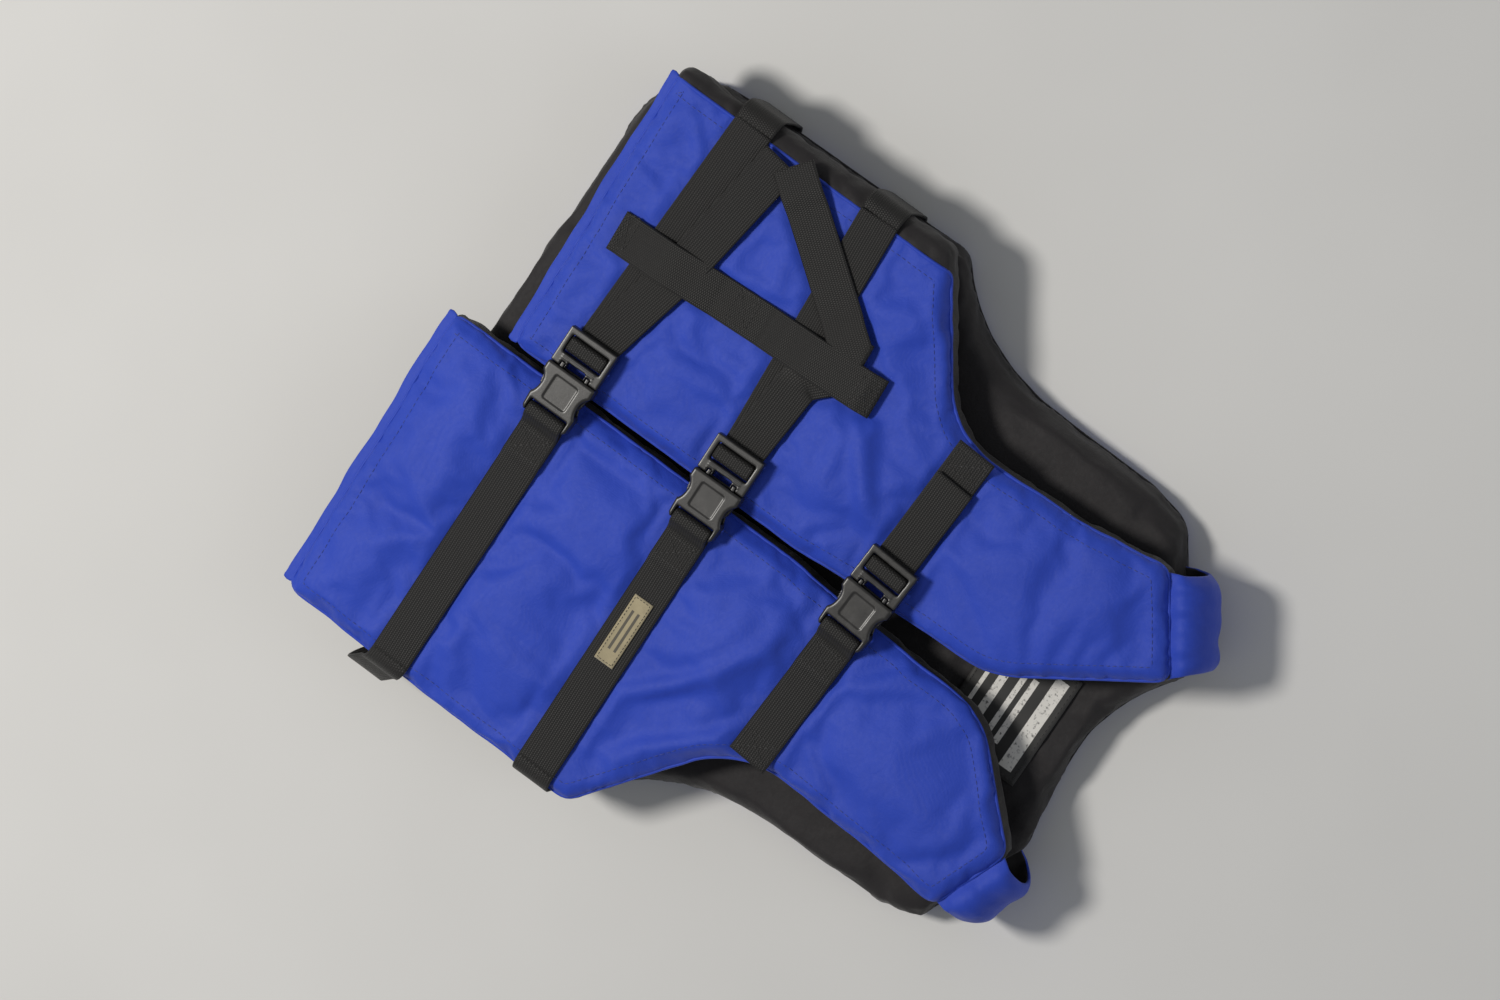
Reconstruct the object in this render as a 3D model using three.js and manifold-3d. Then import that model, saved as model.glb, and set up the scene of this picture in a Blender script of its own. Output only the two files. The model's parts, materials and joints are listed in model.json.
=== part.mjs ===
// A buckle-front foam life vest lying closed on its back. Millimetres, +Z up, +Y towards the
// collar, +X towards the wearer's left. The origin is on the underside of the back panel,
// below the line where the two front panels meet. "right" and "left" are the wearer's.
import * as THREE from "three";
import { mergeVertices } from "three/addons/utils/BufferGeometryUtils.js";
import Module from "manifold-3d";

const wasm = await Module();
wasm.setup();

// Driving dimensions
const frontHalfWidth = 202; // closure line to the side edge of a front panel
const frontOverhang = 5; // how far a front panel's side edge lies outside the back panel's
const backHalfWidth = frontHalfWidth - frontOverhang;
const frontThickness = 30;
const backThickness = 26;
const torsoGap = 6; // between the back lining and the front linings
const padEdge = 9; // radius of a pad's rounded edge
const cloth = 1; // shell or lining cloth with its seam allowance
const gap = 0.3; // between pieces that touch
const closureGap = 1.5; // from the closure line to each front panel
const armholeReach = 114; // closure line to the straight edge of a front armhole
const backArmholeReach = 151; // closure line to the edge of the back panel at the armholes
const backHemY = -232;
const backHemRadius = 55;
const backNeckY = 197;
const shoulderBand = 5; // thickness of the folded shoulder cloth
const shoulderReach = 26; // how far the shoulder fold runs past the pads
const shoulderRise = 40; // height of the shoulder fold
const webWidth = 25.4; // one-inch webbing
const webThickness = 1.6;

// What differs between the two front panels, which are buckled a little out of line
const sides = {
  right: {
    sign: -1,
    hemY: -208,
    hemRise: -7,
    underarmY: -22,
    armholeY: 62,
    shoulderOuter: [125, 187],
    shoulderInner: [69, 226],
    backShoulderOuter: [143, 174.5],
    neckY: 125,
  },
  left: {
    sign: 1,
    hemY: -246.8,
    hemRise: 6,
    underarmY: -29,
    armholeY: 64,
    shoulderOuter: [121, 185],
    shoulderInner: [69, 205],
    backShoulderOuter: [139, 178],
    neckY: 128,
  },
};

// Where each belt runs: its buckle's mouth, the height in Y at which each half ends, and the
// points that its loose tail passes on its way to its free end
const belts = {
  chest: { buckle: [-12, 54], rightEndY: 58, leftEndY: 47, wraps: false, tail: [[-92, 58]] },
  middle: {
    buckle: [-12, -56],
    rightEndY: -66,
    leftEndY: -54,
    wraps: true,
    tail: [[-88, -51], [-104, -35], [-121, -38], [-177, -111]],
  },
  lower: {
    buckle: [-12, -163],
    rightEndY: -157,
    leftEndY: -162,
    wraps: true,
    tail: [[-98, -145.5], [-186, -131.5]],
  },
};

// Heights above the floor, worked up from the belts that cross the back
const backBase = webThickness + gap;
const backTop = backBase + backThickness;
const frontBase = backTop + torsoGap;
const frontTop = frontBase + frontThickness;
const layer = webThickness + gap; // one layer of webbing and its clearance

// Buckle, in its own frame: X along the belt from the mouth, Y across it, Z up from its underside
const buckle = {
  halfWidth: 17,
  height: 9.5,
  bodyLength: 33, // the socket half
  plugLength: 24, // the part of the plug half that stays outside
  plugFront: 8, // solid stretch between the mouth and the first slot
  plugRecess: 4.5, // opening in the plug's front edge, between the arms
  wall: 1.8,
  post: 3, // the socket's side posts, which hold the latch arms
  postLength: 6.5,
  cavityLength: 21,
  waist: 13.5, // half width where the fingers squeeze
  slot: 3.8, // length of a webbing slot
  bar: 4.3, // length of a webbing bar
  barHeight: 4.5,
  dish: 2.2, // how far the plug's bar lies below its rim
  armRoot: 8.8, // from the middle to a latch arm's root
  armSeat: 2.9, // how far a latch arm's root lies inside the plug
  armThickness: 2.4,
  armReach: 19, // from the mouth to an arm's tip
  catch: 1.2, // how far a latch arm reaches behind its post
};
buckle.cavityHalf = buckle.halfWidth - buckle.post;
buckle.slotHalf = webWidth / 2 + 0.5;
buckle.plugBottom = 1.6;
buckle.plugTop = buckle.height - buckle.plugBottom;
buckle.base = frontTop + 2 * layer + gap - buckle.plugBottom; // two layers pass under the plug

// Keeper: webbing sewn down the right front over the middle and lower belts
const keeper = {
  x: -100,
  topY: -7,
  bottomY: -191,
  turn: THREE.MathUtils.degToRad(3),
  slack: 6, // beside what it crosses
  ramp: 6, // length over which it climbs onto the belts
};
const wrapStart = frontHalfWidth - padEdge - 0.5; // where a belt starts to bend round the side
const tailLead = 13; // how far inside the plug a returning strap starts

const materials = {
  shell: new THREE.MeshStandardMaterial({ color: 0x2c45b8, roughness: 0.75, metalness: 0 }),
  lining: new THREE.MeshStandardMaterial({ color: 0x1c1c1f, roughness: 0.9, metalness: 0 }),
  foam: new THREE.MeshStandardMaterial({ color: 0xe6e2d6, roughness: 0.95, metalness: 0 }),
  webbing: new THREE.MeshStandardMaterial({ color: 0x17140f, roughness: 0.8, metalness: 0 }),
  plastic: new THREE.MeshStandardMaterial({ color: 0x26252a, roughness: 0.35, metalness: 0 }),
  label: new THREE.MeshStandardMaterial({ color: 0xc9bfa0, roughness: 0.85, metalness: 0 }),
};

const vest = new THREE.Group();

// ---- Shapes and solids -------------------------------------------------------------------

function solidOf(geometry) {
  const bare = geometry.index ? geometry.toNonIndexed() : geometry.clone();
  bare.deleteAttribute("normal");
  bare.deleteAttribute("uv");
  const merged = mergeVertices(bare, 1e-3);
  return new wasm.Manifold(
    new wasm.Mesh({
      numProp: 3,
      vertProperties: merged.attributes.position.array,
      triVerts: new Uint32Array(merged.index.array),
    }),
  );
}

function geometryOf(solid) {
  const mesh = solid.getMesh();
  return new THREE.BufferGeometry()
    .setAttribute("position", new THREE.BufferAttribute(mesh.vertProperties, 3))
    .setIndex(new THREE.BufferAttribute(mesh.triVerts, 1));
}

function add(name, geometry, material, group = vest) {
  const mesh = new THREE.Mesh(geometry, material);
  mesh.name = name;
  group.add(mesh);
  return mesh;
}

function shapeOf(points) {
  return new THREE.Shape(points.map(([x, y]) => new THREE.Vector2(x, y)));
}

// A solid box from its lowest to its highest corner
function box(low, high) {
  const size = low.map((v, i) => high[i] - v);
  const middle = low.map((v, i) => (v + high[i]) / 2);
  return solidOf(new THREE.BoxGeometry(...size).translate(...middle));
}

// A corner moved square to the two sides that meet there
function moved(before, corner, after, distance) {
  const into = corner.clone().sub(before).normalize();
  const out = after.clone().sub(corner).normalize();
  const mitre = new THREE.Vector2(-into.y - out.y, into.x + out.x).normalize();
  const reach = distance / Math.max(0.5, mitre.x * -into.y + mitre.y * into.x);
  return corner.clone().addScaledVector(mitre, reach);
}

// An outline that runs anticlockwise, drawn in by an even distance
function drawnIn(shape, distance) {
  const points = shape.getPoints(4);
  if (points[0].distanceTo(points[points.length - 1]) < 1e-6) points.pop();
  const at = (i) => points[(i + points.length) % points.length];
  return new THREE.Shape(points.map((point, i) => moved(at(i - 1), point, at(i + 1), distance)));
}

// A flat plate of an outline
function plate(shape, low, high) {
  const options = { depth: high - low, bevelEnabled: false, curveSegments: 4 };
  return new THREE.ExtrudeGeometry(shape, options).translate(0, 0, low);
}

// A pillow: an outline drawn in by inset, with edges rounded above and below
function pillow(shape, low, high, inset, edge) {
  const geometry = new THREE.ExtrudeGeometry(shape, {
    depth: high - low - 2 * edge,
    bevelThickness: edge,
    bevelSize: edge,
    bevelOffset: -inset - edge,
    bevelSegments: 3,
    curveSegments: 6,
  });
  return geometry.translate(0, 0, low + edge);
}

// A panel's cloth tray, the sheet that closes it underneath and its two plies of foam
function panelSolids(shape, low, high) {
  const tray = solidOf(pillow(shape, low, high, 0, padEdge))
    .subtract(solidOf(pillow(shape, low + cloth, high - cloth, cloth, padEdge - cloth)))
    .subtract(solidOf(plate(drawnIn(shape, padEdge), low - 1, low + cloth + gap)));
  const sheet = plate(drawnIn(shape, padEdge + gap), low, low + cloth);
  const inside = cloth + gap;
  const core = solidOf(pillow(shape, low + inside, high - inside, inside, padEdge - inside));
  const middle = (low + high) / 2;
  const wide = 2 * frontHalfWidth;
  const ply = (from, to) => core.intersect(box([-wide, -wide, from], [wide, wide, to]));
  return {
    tray: geometryOf(tray),
    sheet,
    lowerPly: geometryOf(ply(low, middle - gap / 2)),
    upperPly: geometryOf(ply(middle + gap / 2, high)),
  };
}

// The closed outline of a band of even thickness along a path of 2D points
function bandShape(path, thickness) {
  const points = path.map(([x, y]) => new THREE.Vector2(x, y));
  const last = points.length - 1;
  const before = (i) => (i > 0 ? points[i - 1] : points[0].clone().multiplyScalar(2).sub(points[1]));
  const after = (i) => {
    return i < last ? points[i + 1] : points[last].clone().multiplyScalar(2).sub(points[last - 1]);
  };
  const edge = (distance) => points.map((point, i) => moved(before(i), point, after(i), distance));
  return new THREE.Shape([...edge(thickness / 2), ...edge(-thickness / 2).reverse()]);
}

// Points of an arc about a centre, from one angle to another in degrees
function arc([cx, cy], [rx, ry], from, to, steps) {
  return Array.from({ length: steps + 1 }, (_, i) => {
    const a = THREE.MathUtils.degToRad(from + ((to - from) * i) / steps);
    return [cx + rx * Math.cos(a), cy + ry * Math.sin(a)];
  });
}

// A band whose path lies in the XZ plane, with its width along Y, centred on Y 0
function bandAcross(path, thickness, width) {
  return new THREE.ExtrudeGeometry(bandShape(path, thickness), { depth: width, bevelEnabled: false })
    .rotateX(Math.PI / 2)
    .translate(0, width / 2, 0);
}

// Webbing that lies flat between two or more points of the plan
function flatWeb(points, low) {
  return plate(bandShape(points, webWidth), low, low + webThickness);
}

// ---- Outlines of the panels --------------------------------------------------------------

function frontOutline(side) {
  const [outerX, outerY] = side.shoulderOuter;
  const [innerX, innerY] = side.shoulderInner;
  const slope = (side.armholeY - side.underarmY) / (frontHalfWidth - armholeReach);
  const bend = armholeReach + 21; // where the slanting underarm edge starts to turn up
  const shape = new THREE.Shape()
    .moveTo(closureGap, side.hemY)
    .lineTo(frontHalfWidth - 4, side.hemY + side.hemRise)
    .lineTo(frontHalfWidth, side.underarmY)
    .lineTo(bend, side.underarmY + slope * 0.72 * (frontHalfWidth - bend))
    .quadraticCurveTo(armholeReach, side.armholeY - 22, armholeReach, side.armholeY + 4)
    .lineTo(armholeReach + 2, outerY - 60)
    .lineTo(outerX, outerY)
    .lineTo(innerX, innerY)
    .lineTo(20, side.neckY + 28)
    .quadraticCurveTo(9, side.neckY + 12, 8, side.neckY - 6)
    .lineTo(6, 56)
    .lineTo(closureGap, 0);
  return mirrored(shape.getPoints(6), side.sign);
}

function mirrored(points, sign) {
  const turned = points.map((p) => [sign * p.x, p.y]);
  return shapeOf(sign < 0 ? turned.reverse() : turned);
}

function backOutline() {
  const half = (side) => {
    const [outerX, outerY] = side.backShoulderOuter;
    return new THREE.Shape()
      .moveTo(0, backHemY)
      .lineTo(backHalfWidth - backHemRadius, backHemY)
      .quadraticCurveTo(backHalfWidth - 4, backHemY, backHalfWidth - 2, backHemY + backHemRadius)
      .lineTo(backHalfWidth, side.underarmY + 2)
      .quadraticCurveTo(backArmholeReach + 2, side.underarmY + 34, backArmholeReach, 74)
      .lineTo(backArmholeReach - 2, outerY - 26)
      .lineTo(outerX, outerY)
      .lineTo(...side.shoulderInner)
      .quadraticCurveTo(30, backNeckY, 0, backNeckY)
      .getPoints(6);
  };
  const left = half(sides.left).map((p) => [p.x, p.y]);
  const right = half(sides.right).map((p) => [-p.x, p.y]);
  return shapeOf([...left, ...right.slice(1, -1).reverse()]);
}

// ---- Panels and shoulders ----------------------------------------------------------------

function addPanels() {
  for (const [name, side] of Object.entries(sides)) {
    const panel = panelSolids(frontOutline(side), frontBase, frontTop);
    add(`${name}_front_shell`, panel.tray, materials.shell);
    add(`${name}_front_lining`, panel.sheet, materials.lining);
    add(`${name}_front_foam_inner`, panel.lowerPly, materials.foam);
    add(`${name}_front_foam_outer`, panel.upperPly, materials.foam);
  }
  const back = panelSolids(backOutline(), backBase, backTop);
  add("back_lining", back.tray, materials.lining);
  add("back_shell", back.sheet, materials.shell);
  add("back_foam_outer", back.lowerPly, materials.foam);
  add("back_foam_inner", back.upperPly, materials.foam);
}

// The cloth that folds over each shoulder and joins the back panel to a front panel
function addShoulders() {
  for (const [name, side] of Object.entries(sides)) {
    const outer = new THREE.Vector2(...side.shoulderOuter);
    const inner = new THREE.Vector2(...side.shoulderInner);
    const width = outer.distanceTo(inner) - 2;
    const middle = (backBase + frontTop) / 2;
    const start = gap + 0.2;
    const reach = shoulderReach - start - shoulderBand / 2;
    const fold = arc([start + 2, middle], [reach - 2, shoulderRise / 2], 90, -90, 12);
    const path = [[start, middle + shoulderRise / 2], ...fold, [start, middle - shoulderRise / 2]];
    const band = bandAcross(path, shoulderBand, width);
    const slope = Math.atan2(inner.y - outer.y, outer.x - inner.x);
    const turn = Math.PI / 2 - side.sign * slope;
    const centre = outer.clone().add(inner).multiplyScalar(0.5);
    const mesh = add(`${name}_shoulder`, band, materials.shell);
    mesh.rotation.z = turn;
    mesh.position.set(side.sign * centre.x, centre.y, 0);
  }
}

// ---- Belts -------------------------------------------------------------------------------

// The left half of a belt: from its sewn end round the socket's bar and out to the side
function leftBelt(belt, name) {
  const [x, y] = belt.buckle;
  const run = { low: layer / 2, double: 1.5 * layer };
  const barMiddle = buckle.height / 2 + buckle.base - frontTop - gap / 2;
  const rise = buckle.barHeight / 2 + gap + webThickness / 2;
  const bend = buckle.bodyLength - buckle.bar - gap - webThickness / 2;
  const around = [[bend + 0.8, -rise], [bend - 0.1, 1 - rise], [bend - 0.1, rise - 1], [bend + 0.8, rise]];
  const sewn = buckle.bodyLength + 26; // where the folded end is stitched down
  const path = [
    [sewn, run.low],
    [buckle.bodyLength + 5, run.low],
    [buckle.bodyLength - 0.5, barMiddle - rise],
    ...around.map(([along, up]) => [along, barMiddle + up]),
    [buckle.bodyLength + 0.8, barMiddle + rise],
    [buckle.bodyLength + 7, run.double],
    [sewn + 1, run.double],
    [sewn + 6, run.low],
    [(beltEnd(belt) - x) / Math.cos(beltSlope(belt)), run.low],
  ];
  const mesh = add(name, bandAcross(path, webThickness, webWidth), materials.webbing);
  mesh.position.set(x, y, frontTop + gap / 2);
  mesh.rotation.z = beltSlope(belt);
}

// Where a belt ends, in X: at the armhole seam, or where its wrap begins
function beltEnd(belt) {
  return belt.wraps ? wrapStart - 3 * gap : armholeReach - gap;
}

function beltSlope(belt) {
  const [x, y] = belt.buckle;
  return Math.atan2(belt.leftEndY - y, beltEnd(belt) - x);
}

// The paths of a belt's right half, which starts under the plug, and of the tail over it
function rightRuns(belt) {
  const [x, y] = belt.buckle;
  const run = [[x - tailLead, y], [-beltEnd(belt), belt.rightEndY]];
  const tail = [[x - tailLead - 2, y], ...belt.tail];
  return { run, tail };
}

function rightBelt(belt, name) {
  const { run, tail } = rightRuns(belt);
  add(`${name}_belt_right`, flatWeb(run, frontTop + gap), materials.webbing);
  add(`${name}_belt_tail`, flatWeb(tail, frontTop + gap + layer), materials.webbing);
}

// The bend of a belt round the edges of a front panel and the back panel
function addWrap(name, sign, y) {
  const radius = padEdge + webThickness / 2 + 2 * gap;
  const bend = (x, z, from, to) => arc([x - padEdge, z], [radius, radius], from, to, 6);
  const path = [
    [wrapStart, frontTop - padEdge + radius],
    ...bend(frontHalfWidth, frontTop - padEdge, 90, 0),
    [frontHalfWidth - padEdge + radius, frontBase + padEdge - 3],
    ...bend(backHalfWidth, backBase + padEdge, 0, -90),
    [wrapStart - frontHalfWidth + backHalfWidth, backBase + padEdge - radius],
  ];
  const mesh = add(name, bandAcross(path, webThickness, webWidth), materials.webbing);
  mesh.position.y = y;
  if (sign < 0) mesh.rotation.z = Math.PI;
}

function addBelts() {
  for (const [name, belt] of Object.entries(belts)) {
    leftBelt(belt, `${name}_belt_left`);
    rightBelt(belt, name);
    if (!belt.wraps) continue;
    addWrap(`${name}_belt_wrap_right`, -1, belt.rightEndY);
    addWrap(`${name}_belt_wrap_left`, 1, belt.leftEndY);
    const reach = wrapStart - frontHalfWidth + backHalfWidth - 3 * gap;
    const across = [[-reach, belt.rightEndY], [reach, belt.leftEndY]];
    add(`${name}_belt_back`, flatWeb(across, 0), materials.webbing);
  }
}

// The height in Y at which a path that runs towards -X passes x
function crossing(path, x) {
  const i = Math.max(1, path.findIndex((point) => point[0] <= x));
  const [[x0, y0], [x1, y1]] = [path[i - 1], path[i]];
  return THREE.MathUtils.mapLinear(x, x0, x1, y0, y1);
}

function addKeeper() {
  const low = webThickness / 2 + gap;
  const high = low + 2 * layer;
  const middle = (keeper.topY + keeper.bottomY) / 2;
  // the stretch where it lies over a belt and its tail
  const hump = (belt) => {
    const crossings = Object.values(rightRuns(belt)).map((path) => crossing(path, keeper.x));
    const top = Math.max(...crossings) + webWidth / 2 + keeper.slack;
    const bottom = Math.min(...crossings) - webWidth / 2 - keeper.slack;
    return [[top + keeper.ramp, low], [top, high], [bottom, high], [bottom - keeper.ramp, low]];
  };
  const path = [[keeper.topY, low], ...hump(belts.middle), ...hump(belts.lower), [keeper.bottomY, low]];
  const band = bandAcross(path.map(([y, z]) => [y - middle, z]), webThickness, webWidth);
  band.rotateZ(Math.PI / 2 + keeper.turn);
  const mesh = add("belt_keeper", band, materials.webbing);
  mesh.position.set(keeper.x, middle, frontTop);
}

// ---- Side-release buckles ----------------------------------------------------------------

function socketSolid() {
  const b = buckle;
  const plan = new THREE.Shape()
    .moveTo(0, b.halfWidth - 0.8)
    .lineTo(0, -b.halfWidth + 0.8)
    .lineTo(1, -b.halfWidth)
    .lineTo(b.postLength, -b.halfWidth)
    .quadraticCurveTo(b.postLength + 3, -b.waist, b.postLength + 7, -b.waist)
    .quadraticCurveTo(b.cavityLength - 2, -b.waist, b.cavityLength + 1, -b.halfWidth + 0.8)
    .lineTo(b.bodyLength - 2, -b.halfWidth + 1.4)
    .lineTo(b.bodyLength, -b.halfWidth + 3)
    .lineTo(b.bodyLength, b.halfWidth - 3)
    .lineTo(b.bodyLength - 2, b.halfWidth - 1.4)
    .lineTo(b.cavityLength + 1, b.halfWidth - 0.8)
    .quadraticCurveTo(b.cavityLength - 2, b.waist, b.postLength + 7, b.waist)
    .quadraticCurveTo(b.postLength + 3, b.waist, b.postLength, b.halfWidth)
    .lineTo(1, b.halfWidth);
  const body = solidOf(
    new THREE.ExtrudeGeometry(plan, {
      depth: b.height - 2,
      bevelThickness: 1,
      bevelSize: 1,
      bevelOffset: -1,
      bevelSegments: 1,
      curveSegments: 4,
    }).translate(0, 0, 1),
  );
  const barStart = b.bodyLength - b.bar;
  const barLow = (b.height - b.barHeight) / 2;
  return body
    .subtract(box([-1, -b.cavityHalf, b.wall], [b.cavityLength, b.cavityHalf, b.height - b.wall]))
    .subtract(box([b.postLength, -20, b.wall], [b.cavityLength - 1, 20, b.height - b.wall]))
    .subtract(box([barStart - b.slot, -b.slotHalf, -1], [barStart, b.slotHalf, b.height + 1]))
    .subtract(box([barStart - 1, -b.slotHalf, -1], [b.bodyLength + 1, b.slotHalf, barLow]))
    .subtract(box([barStart - 1, -b.slotHalf, b.height - barLow], [b.bodyLength + 1, b.slotHalf, 20]));
}

function plugSolid() {
  const b = buckle;
  const halfWidth = b.halfWidth - 0.5;
  const frame = box([-b.plugLength, -halfWidth, b.plugBottom], [-0.4, halfWidth, b.plugTop]);
  const barStart = -b.plugFront - b.slot - b.bar;
  const dish = box([barStart - b.slot, -b.slotHalf, b.plugTop - b.dish], [-b.plugFront, b.slotHalf, 20]);
  const slots = [-b.plugFront - b.slot, barStart - b.slot].map((x) =>
    box([x, -b.slotHalf, 0], [x + b.slot, b.slotHalf, b.height]),
  );
  const recess = box([-b.plugRecess, -b.armRoot + 2.4, 0], [0, b.armRoot - 2.4, b.height]);
  const notches = [b.armRoot, -b.armRoot].map((y) => {
    const half = b.armThickness / 2 + 0.5;
    return box([-b.armSeat - 0.5, y - half, 0], [0, y + half, b.height]);
  });
  return [dish, ...slots, recess, ...notches].reduce((solid, cut) => solid.subtract(cut), frame);
}

// One latch arm, drawn for the side where Y is positive, with its root at the origin
function armShape() {
  const b = buckle;
  const half = b.armThickness / 2;
  const shoulder = b.armSeat + b.postLength + 0.5;
  const caught = b.cavityHalf + b.catch - b.armRoot;
  const tip = b.armSeat + b.armReach;
  return new THREE.Shape()
    .moveTo(0, -half)
    .lineTo(tip - 4, -half + 0.6)
    .lineTo(tip, half)
    .quadraticCurveTo(tip - 1, caught - 1.4, tip - 7, caught - 0.4)
    .lineTo(shoulder + 0.6, caught)
    .lineTo(shoulder, caught - 1)
    .lineTo(shoulder - 0.6, half)
    .lineTo(0, half);
}

// The loop of webbing round the plug's bar
function loopBand() {
  const b = buckle;
  const barEnd = -b.plugFront - b.slot;
  const top = b.plugTop - b.dish + gap + webThickness / 2;
  const low = b.plugBottom + 0.1;
  const near = barEnd + 1.9;
  const far = barEnd - b.bar - 1.9;
  const over = [[near, top - 1], [near - 1, top], [far + 1, top], [far, top - 1]];
  return bandAcross([[near, low], ...over, [far, low]], webThickness, webWidth);
}

function addBuckles() {
  for (const [name, belt] of Object.entries(belts)) {
    const group = new THREE.Group();
    group.position.set(...belt.buckle, buckle.base);
    group.rotation.z = beltSlope(belt);
    vest.add(group);
    add(`${name}_buckle_socket`, geometryOf(socketSolid()), materials.plastic, group);
    add(`${name}_buckle_plug`, geometryOf(plugSolid()), materials.plastic, group);
    add(`${name}_strap_loop`, loopBand(), materials.webbing, group);
    for (const [where, sign] of [["upper", 1], ["lower", -1]]) {
      const arm = plate(armShape(), 2.6, buckle.height - 2.6);
      const mesh = add(`${name}_latch_arm_${where}`, arm, materials.plastic, group);
      mesh.position.set(-buckle.armSeat, sign * buckle.armRoot, sign > 0 ? 0 : buckle.height);
      if (sign < 0) mesh.rotation.x = Math.PI;
    }
  }
}

// ---- Labels ------------------------------------------------------------------------------

function addLabels() {
  const belt = belts.middle;
  const onBelt = new THREE.BoxGeometry(45, 13, 0.5);
  const woven = add("belt_label", onBelt, materials.label);
  woven.position.set(95, belt.buckle[1] + 107 * Math.tan(beltSlope(belt)), frontTop + gap + layer + 0.25);
  woven.rotation.z = beltSlope(belt);
  const inNeck = new THREE.BoxGeometry(74, 58, 0.5);
  add("neck_label", inNeck, materials.lining).position.set(4, 150, backTop + gap + 0.25);
}

addPanels();
addShoulders();
addBelts();
addKeeper();
addBuckles();
addLabels();

export default vest;
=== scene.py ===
"""The looks of a buckle-front foam life vest that lies closed on its back."""
import json
import math
from contextlib import contextmanager

import bmesh
import bpy
import numpy as np
from mathutils import Matrix, Vector, noise
from mathutils.bvhtree import BVHTree

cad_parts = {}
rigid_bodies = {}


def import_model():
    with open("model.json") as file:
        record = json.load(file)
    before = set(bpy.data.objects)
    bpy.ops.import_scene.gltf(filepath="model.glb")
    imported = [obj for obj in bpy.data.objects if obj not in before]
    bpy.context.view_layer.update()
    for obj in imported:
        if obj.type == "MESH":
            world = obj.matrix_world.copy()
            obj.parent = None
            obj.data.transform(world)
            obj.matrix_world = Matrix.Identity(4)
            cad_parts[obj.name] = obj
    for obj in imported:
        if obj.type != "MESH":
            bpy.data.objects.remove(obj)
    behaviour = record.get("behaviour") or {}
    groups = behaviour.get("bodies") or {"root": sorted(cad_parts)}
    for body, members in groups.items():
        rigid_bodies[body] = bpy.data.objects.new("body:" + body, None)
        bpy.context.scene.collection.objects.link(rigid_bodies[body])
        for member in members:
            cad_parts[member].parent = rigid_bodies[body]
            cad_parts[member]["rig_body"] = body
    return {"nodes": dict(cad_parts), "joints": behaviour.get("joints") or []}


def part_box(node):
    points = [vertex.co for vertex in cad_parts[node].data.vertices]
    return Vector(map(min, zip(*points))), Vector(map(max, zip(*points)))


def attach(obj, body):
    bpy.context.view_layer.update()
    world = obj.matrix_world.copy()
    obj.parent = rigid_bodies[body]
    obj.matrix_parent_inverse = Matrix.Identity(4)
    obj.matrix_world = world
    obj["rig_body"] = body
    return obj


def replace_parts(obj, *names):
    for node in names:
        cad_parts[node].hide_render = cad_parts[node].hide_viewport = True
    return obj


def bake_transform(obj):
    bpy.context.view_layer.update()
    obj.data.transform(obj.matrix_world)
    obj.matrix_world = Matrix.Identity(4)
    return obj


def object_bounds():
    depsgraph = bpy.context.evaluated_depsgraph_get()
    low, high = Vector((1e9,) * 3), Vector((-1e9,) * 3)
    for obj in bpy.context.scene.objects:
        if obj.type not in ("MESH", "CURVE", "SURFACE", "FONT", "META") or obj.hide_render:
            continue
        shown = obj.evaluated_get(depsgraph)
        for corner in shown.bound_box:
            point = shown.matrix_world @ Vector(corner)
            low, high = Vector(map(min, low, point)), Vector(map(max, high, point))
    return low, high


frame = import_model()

cad_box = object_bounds()
MM = 0.001

# ---- Sizes, from the frame ----------------------------------------------------------------


def low(node):
    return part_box(node)[0]


def high(node):
    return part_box(node)[1]


FRONT_TOP = high("right_front_shell").z
FRONT_BASE = low("right_front_lining").z
BACK_TOP = high("back_lining").z
BACK_BASE = low("back_shell").z
WEB_WIDTH = high("middle_belt_wrap_left").y - low("middle_belt_wrap_left").y
WEB_THICKNESS = high("lower_belt_back").z - low("lower_belt_back").z
AIR = 0.3 * MM  # between pieces that touch
LAYER = WEB_THICKNESS + AIR  # one layer of webbing and the air above it
BELT_HEIGHT = FRONT_TOP + AIR + WEB_THICKNESS / 2  # middle of a belt that lies on a front
PAD_EDGE = 9 * MM  # radius of a pad's rounded edge
SEAM_DROP = 8 * MM  # how far a panel's edge seam lies below its face
SIDE_INSET = 14 * MM  # how far black lining cloth reaches over the right front's face along its outer side: partly its black side panel, partly painted shadow on that side
VOXEL = 4.2 * MM
PLUG_TRAVEL = 42 * MM  # how much of a tail stays flat, so that a released plug can slide over it
WELT = 1.1 * MM  # radius of the piping in an edge seam
THREAD_LIFT = 0.05 * MM  # how far a stitch's middle line lies above its cloth
BELT_STITCH = dict(radius=0.28 * MM)
EDGE_STITCH = dict(length=2.8 * MM, space=1.1 * MM, radius=0.24 * MM)
WAVE_SCALE = 0.314159  # of a wave texture that repeats once in a metre
BELTS = ("chest", "middle", "lower")

# Buckle, in its own frame: X along the belt from the mouth, Z up from its underside
ARM_SEAT = 2.9 * MM
ARM_HEIGHT = 4.75 * MM
BODY_LENGTH = 33 * MM
BODY_HEIGHT = 9.5 * MM
BAR = 4.3 * MM
BAR_HEIGHT = 4.5 * MM
PLUG_FRONT = 8 * MM
SLOT = 3.8 * MM
PLUG_RIM = 7.9 * MM
DISH = 2.2 * MM

# ---- Materials ----------------------------------------------------------------------------


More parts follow.
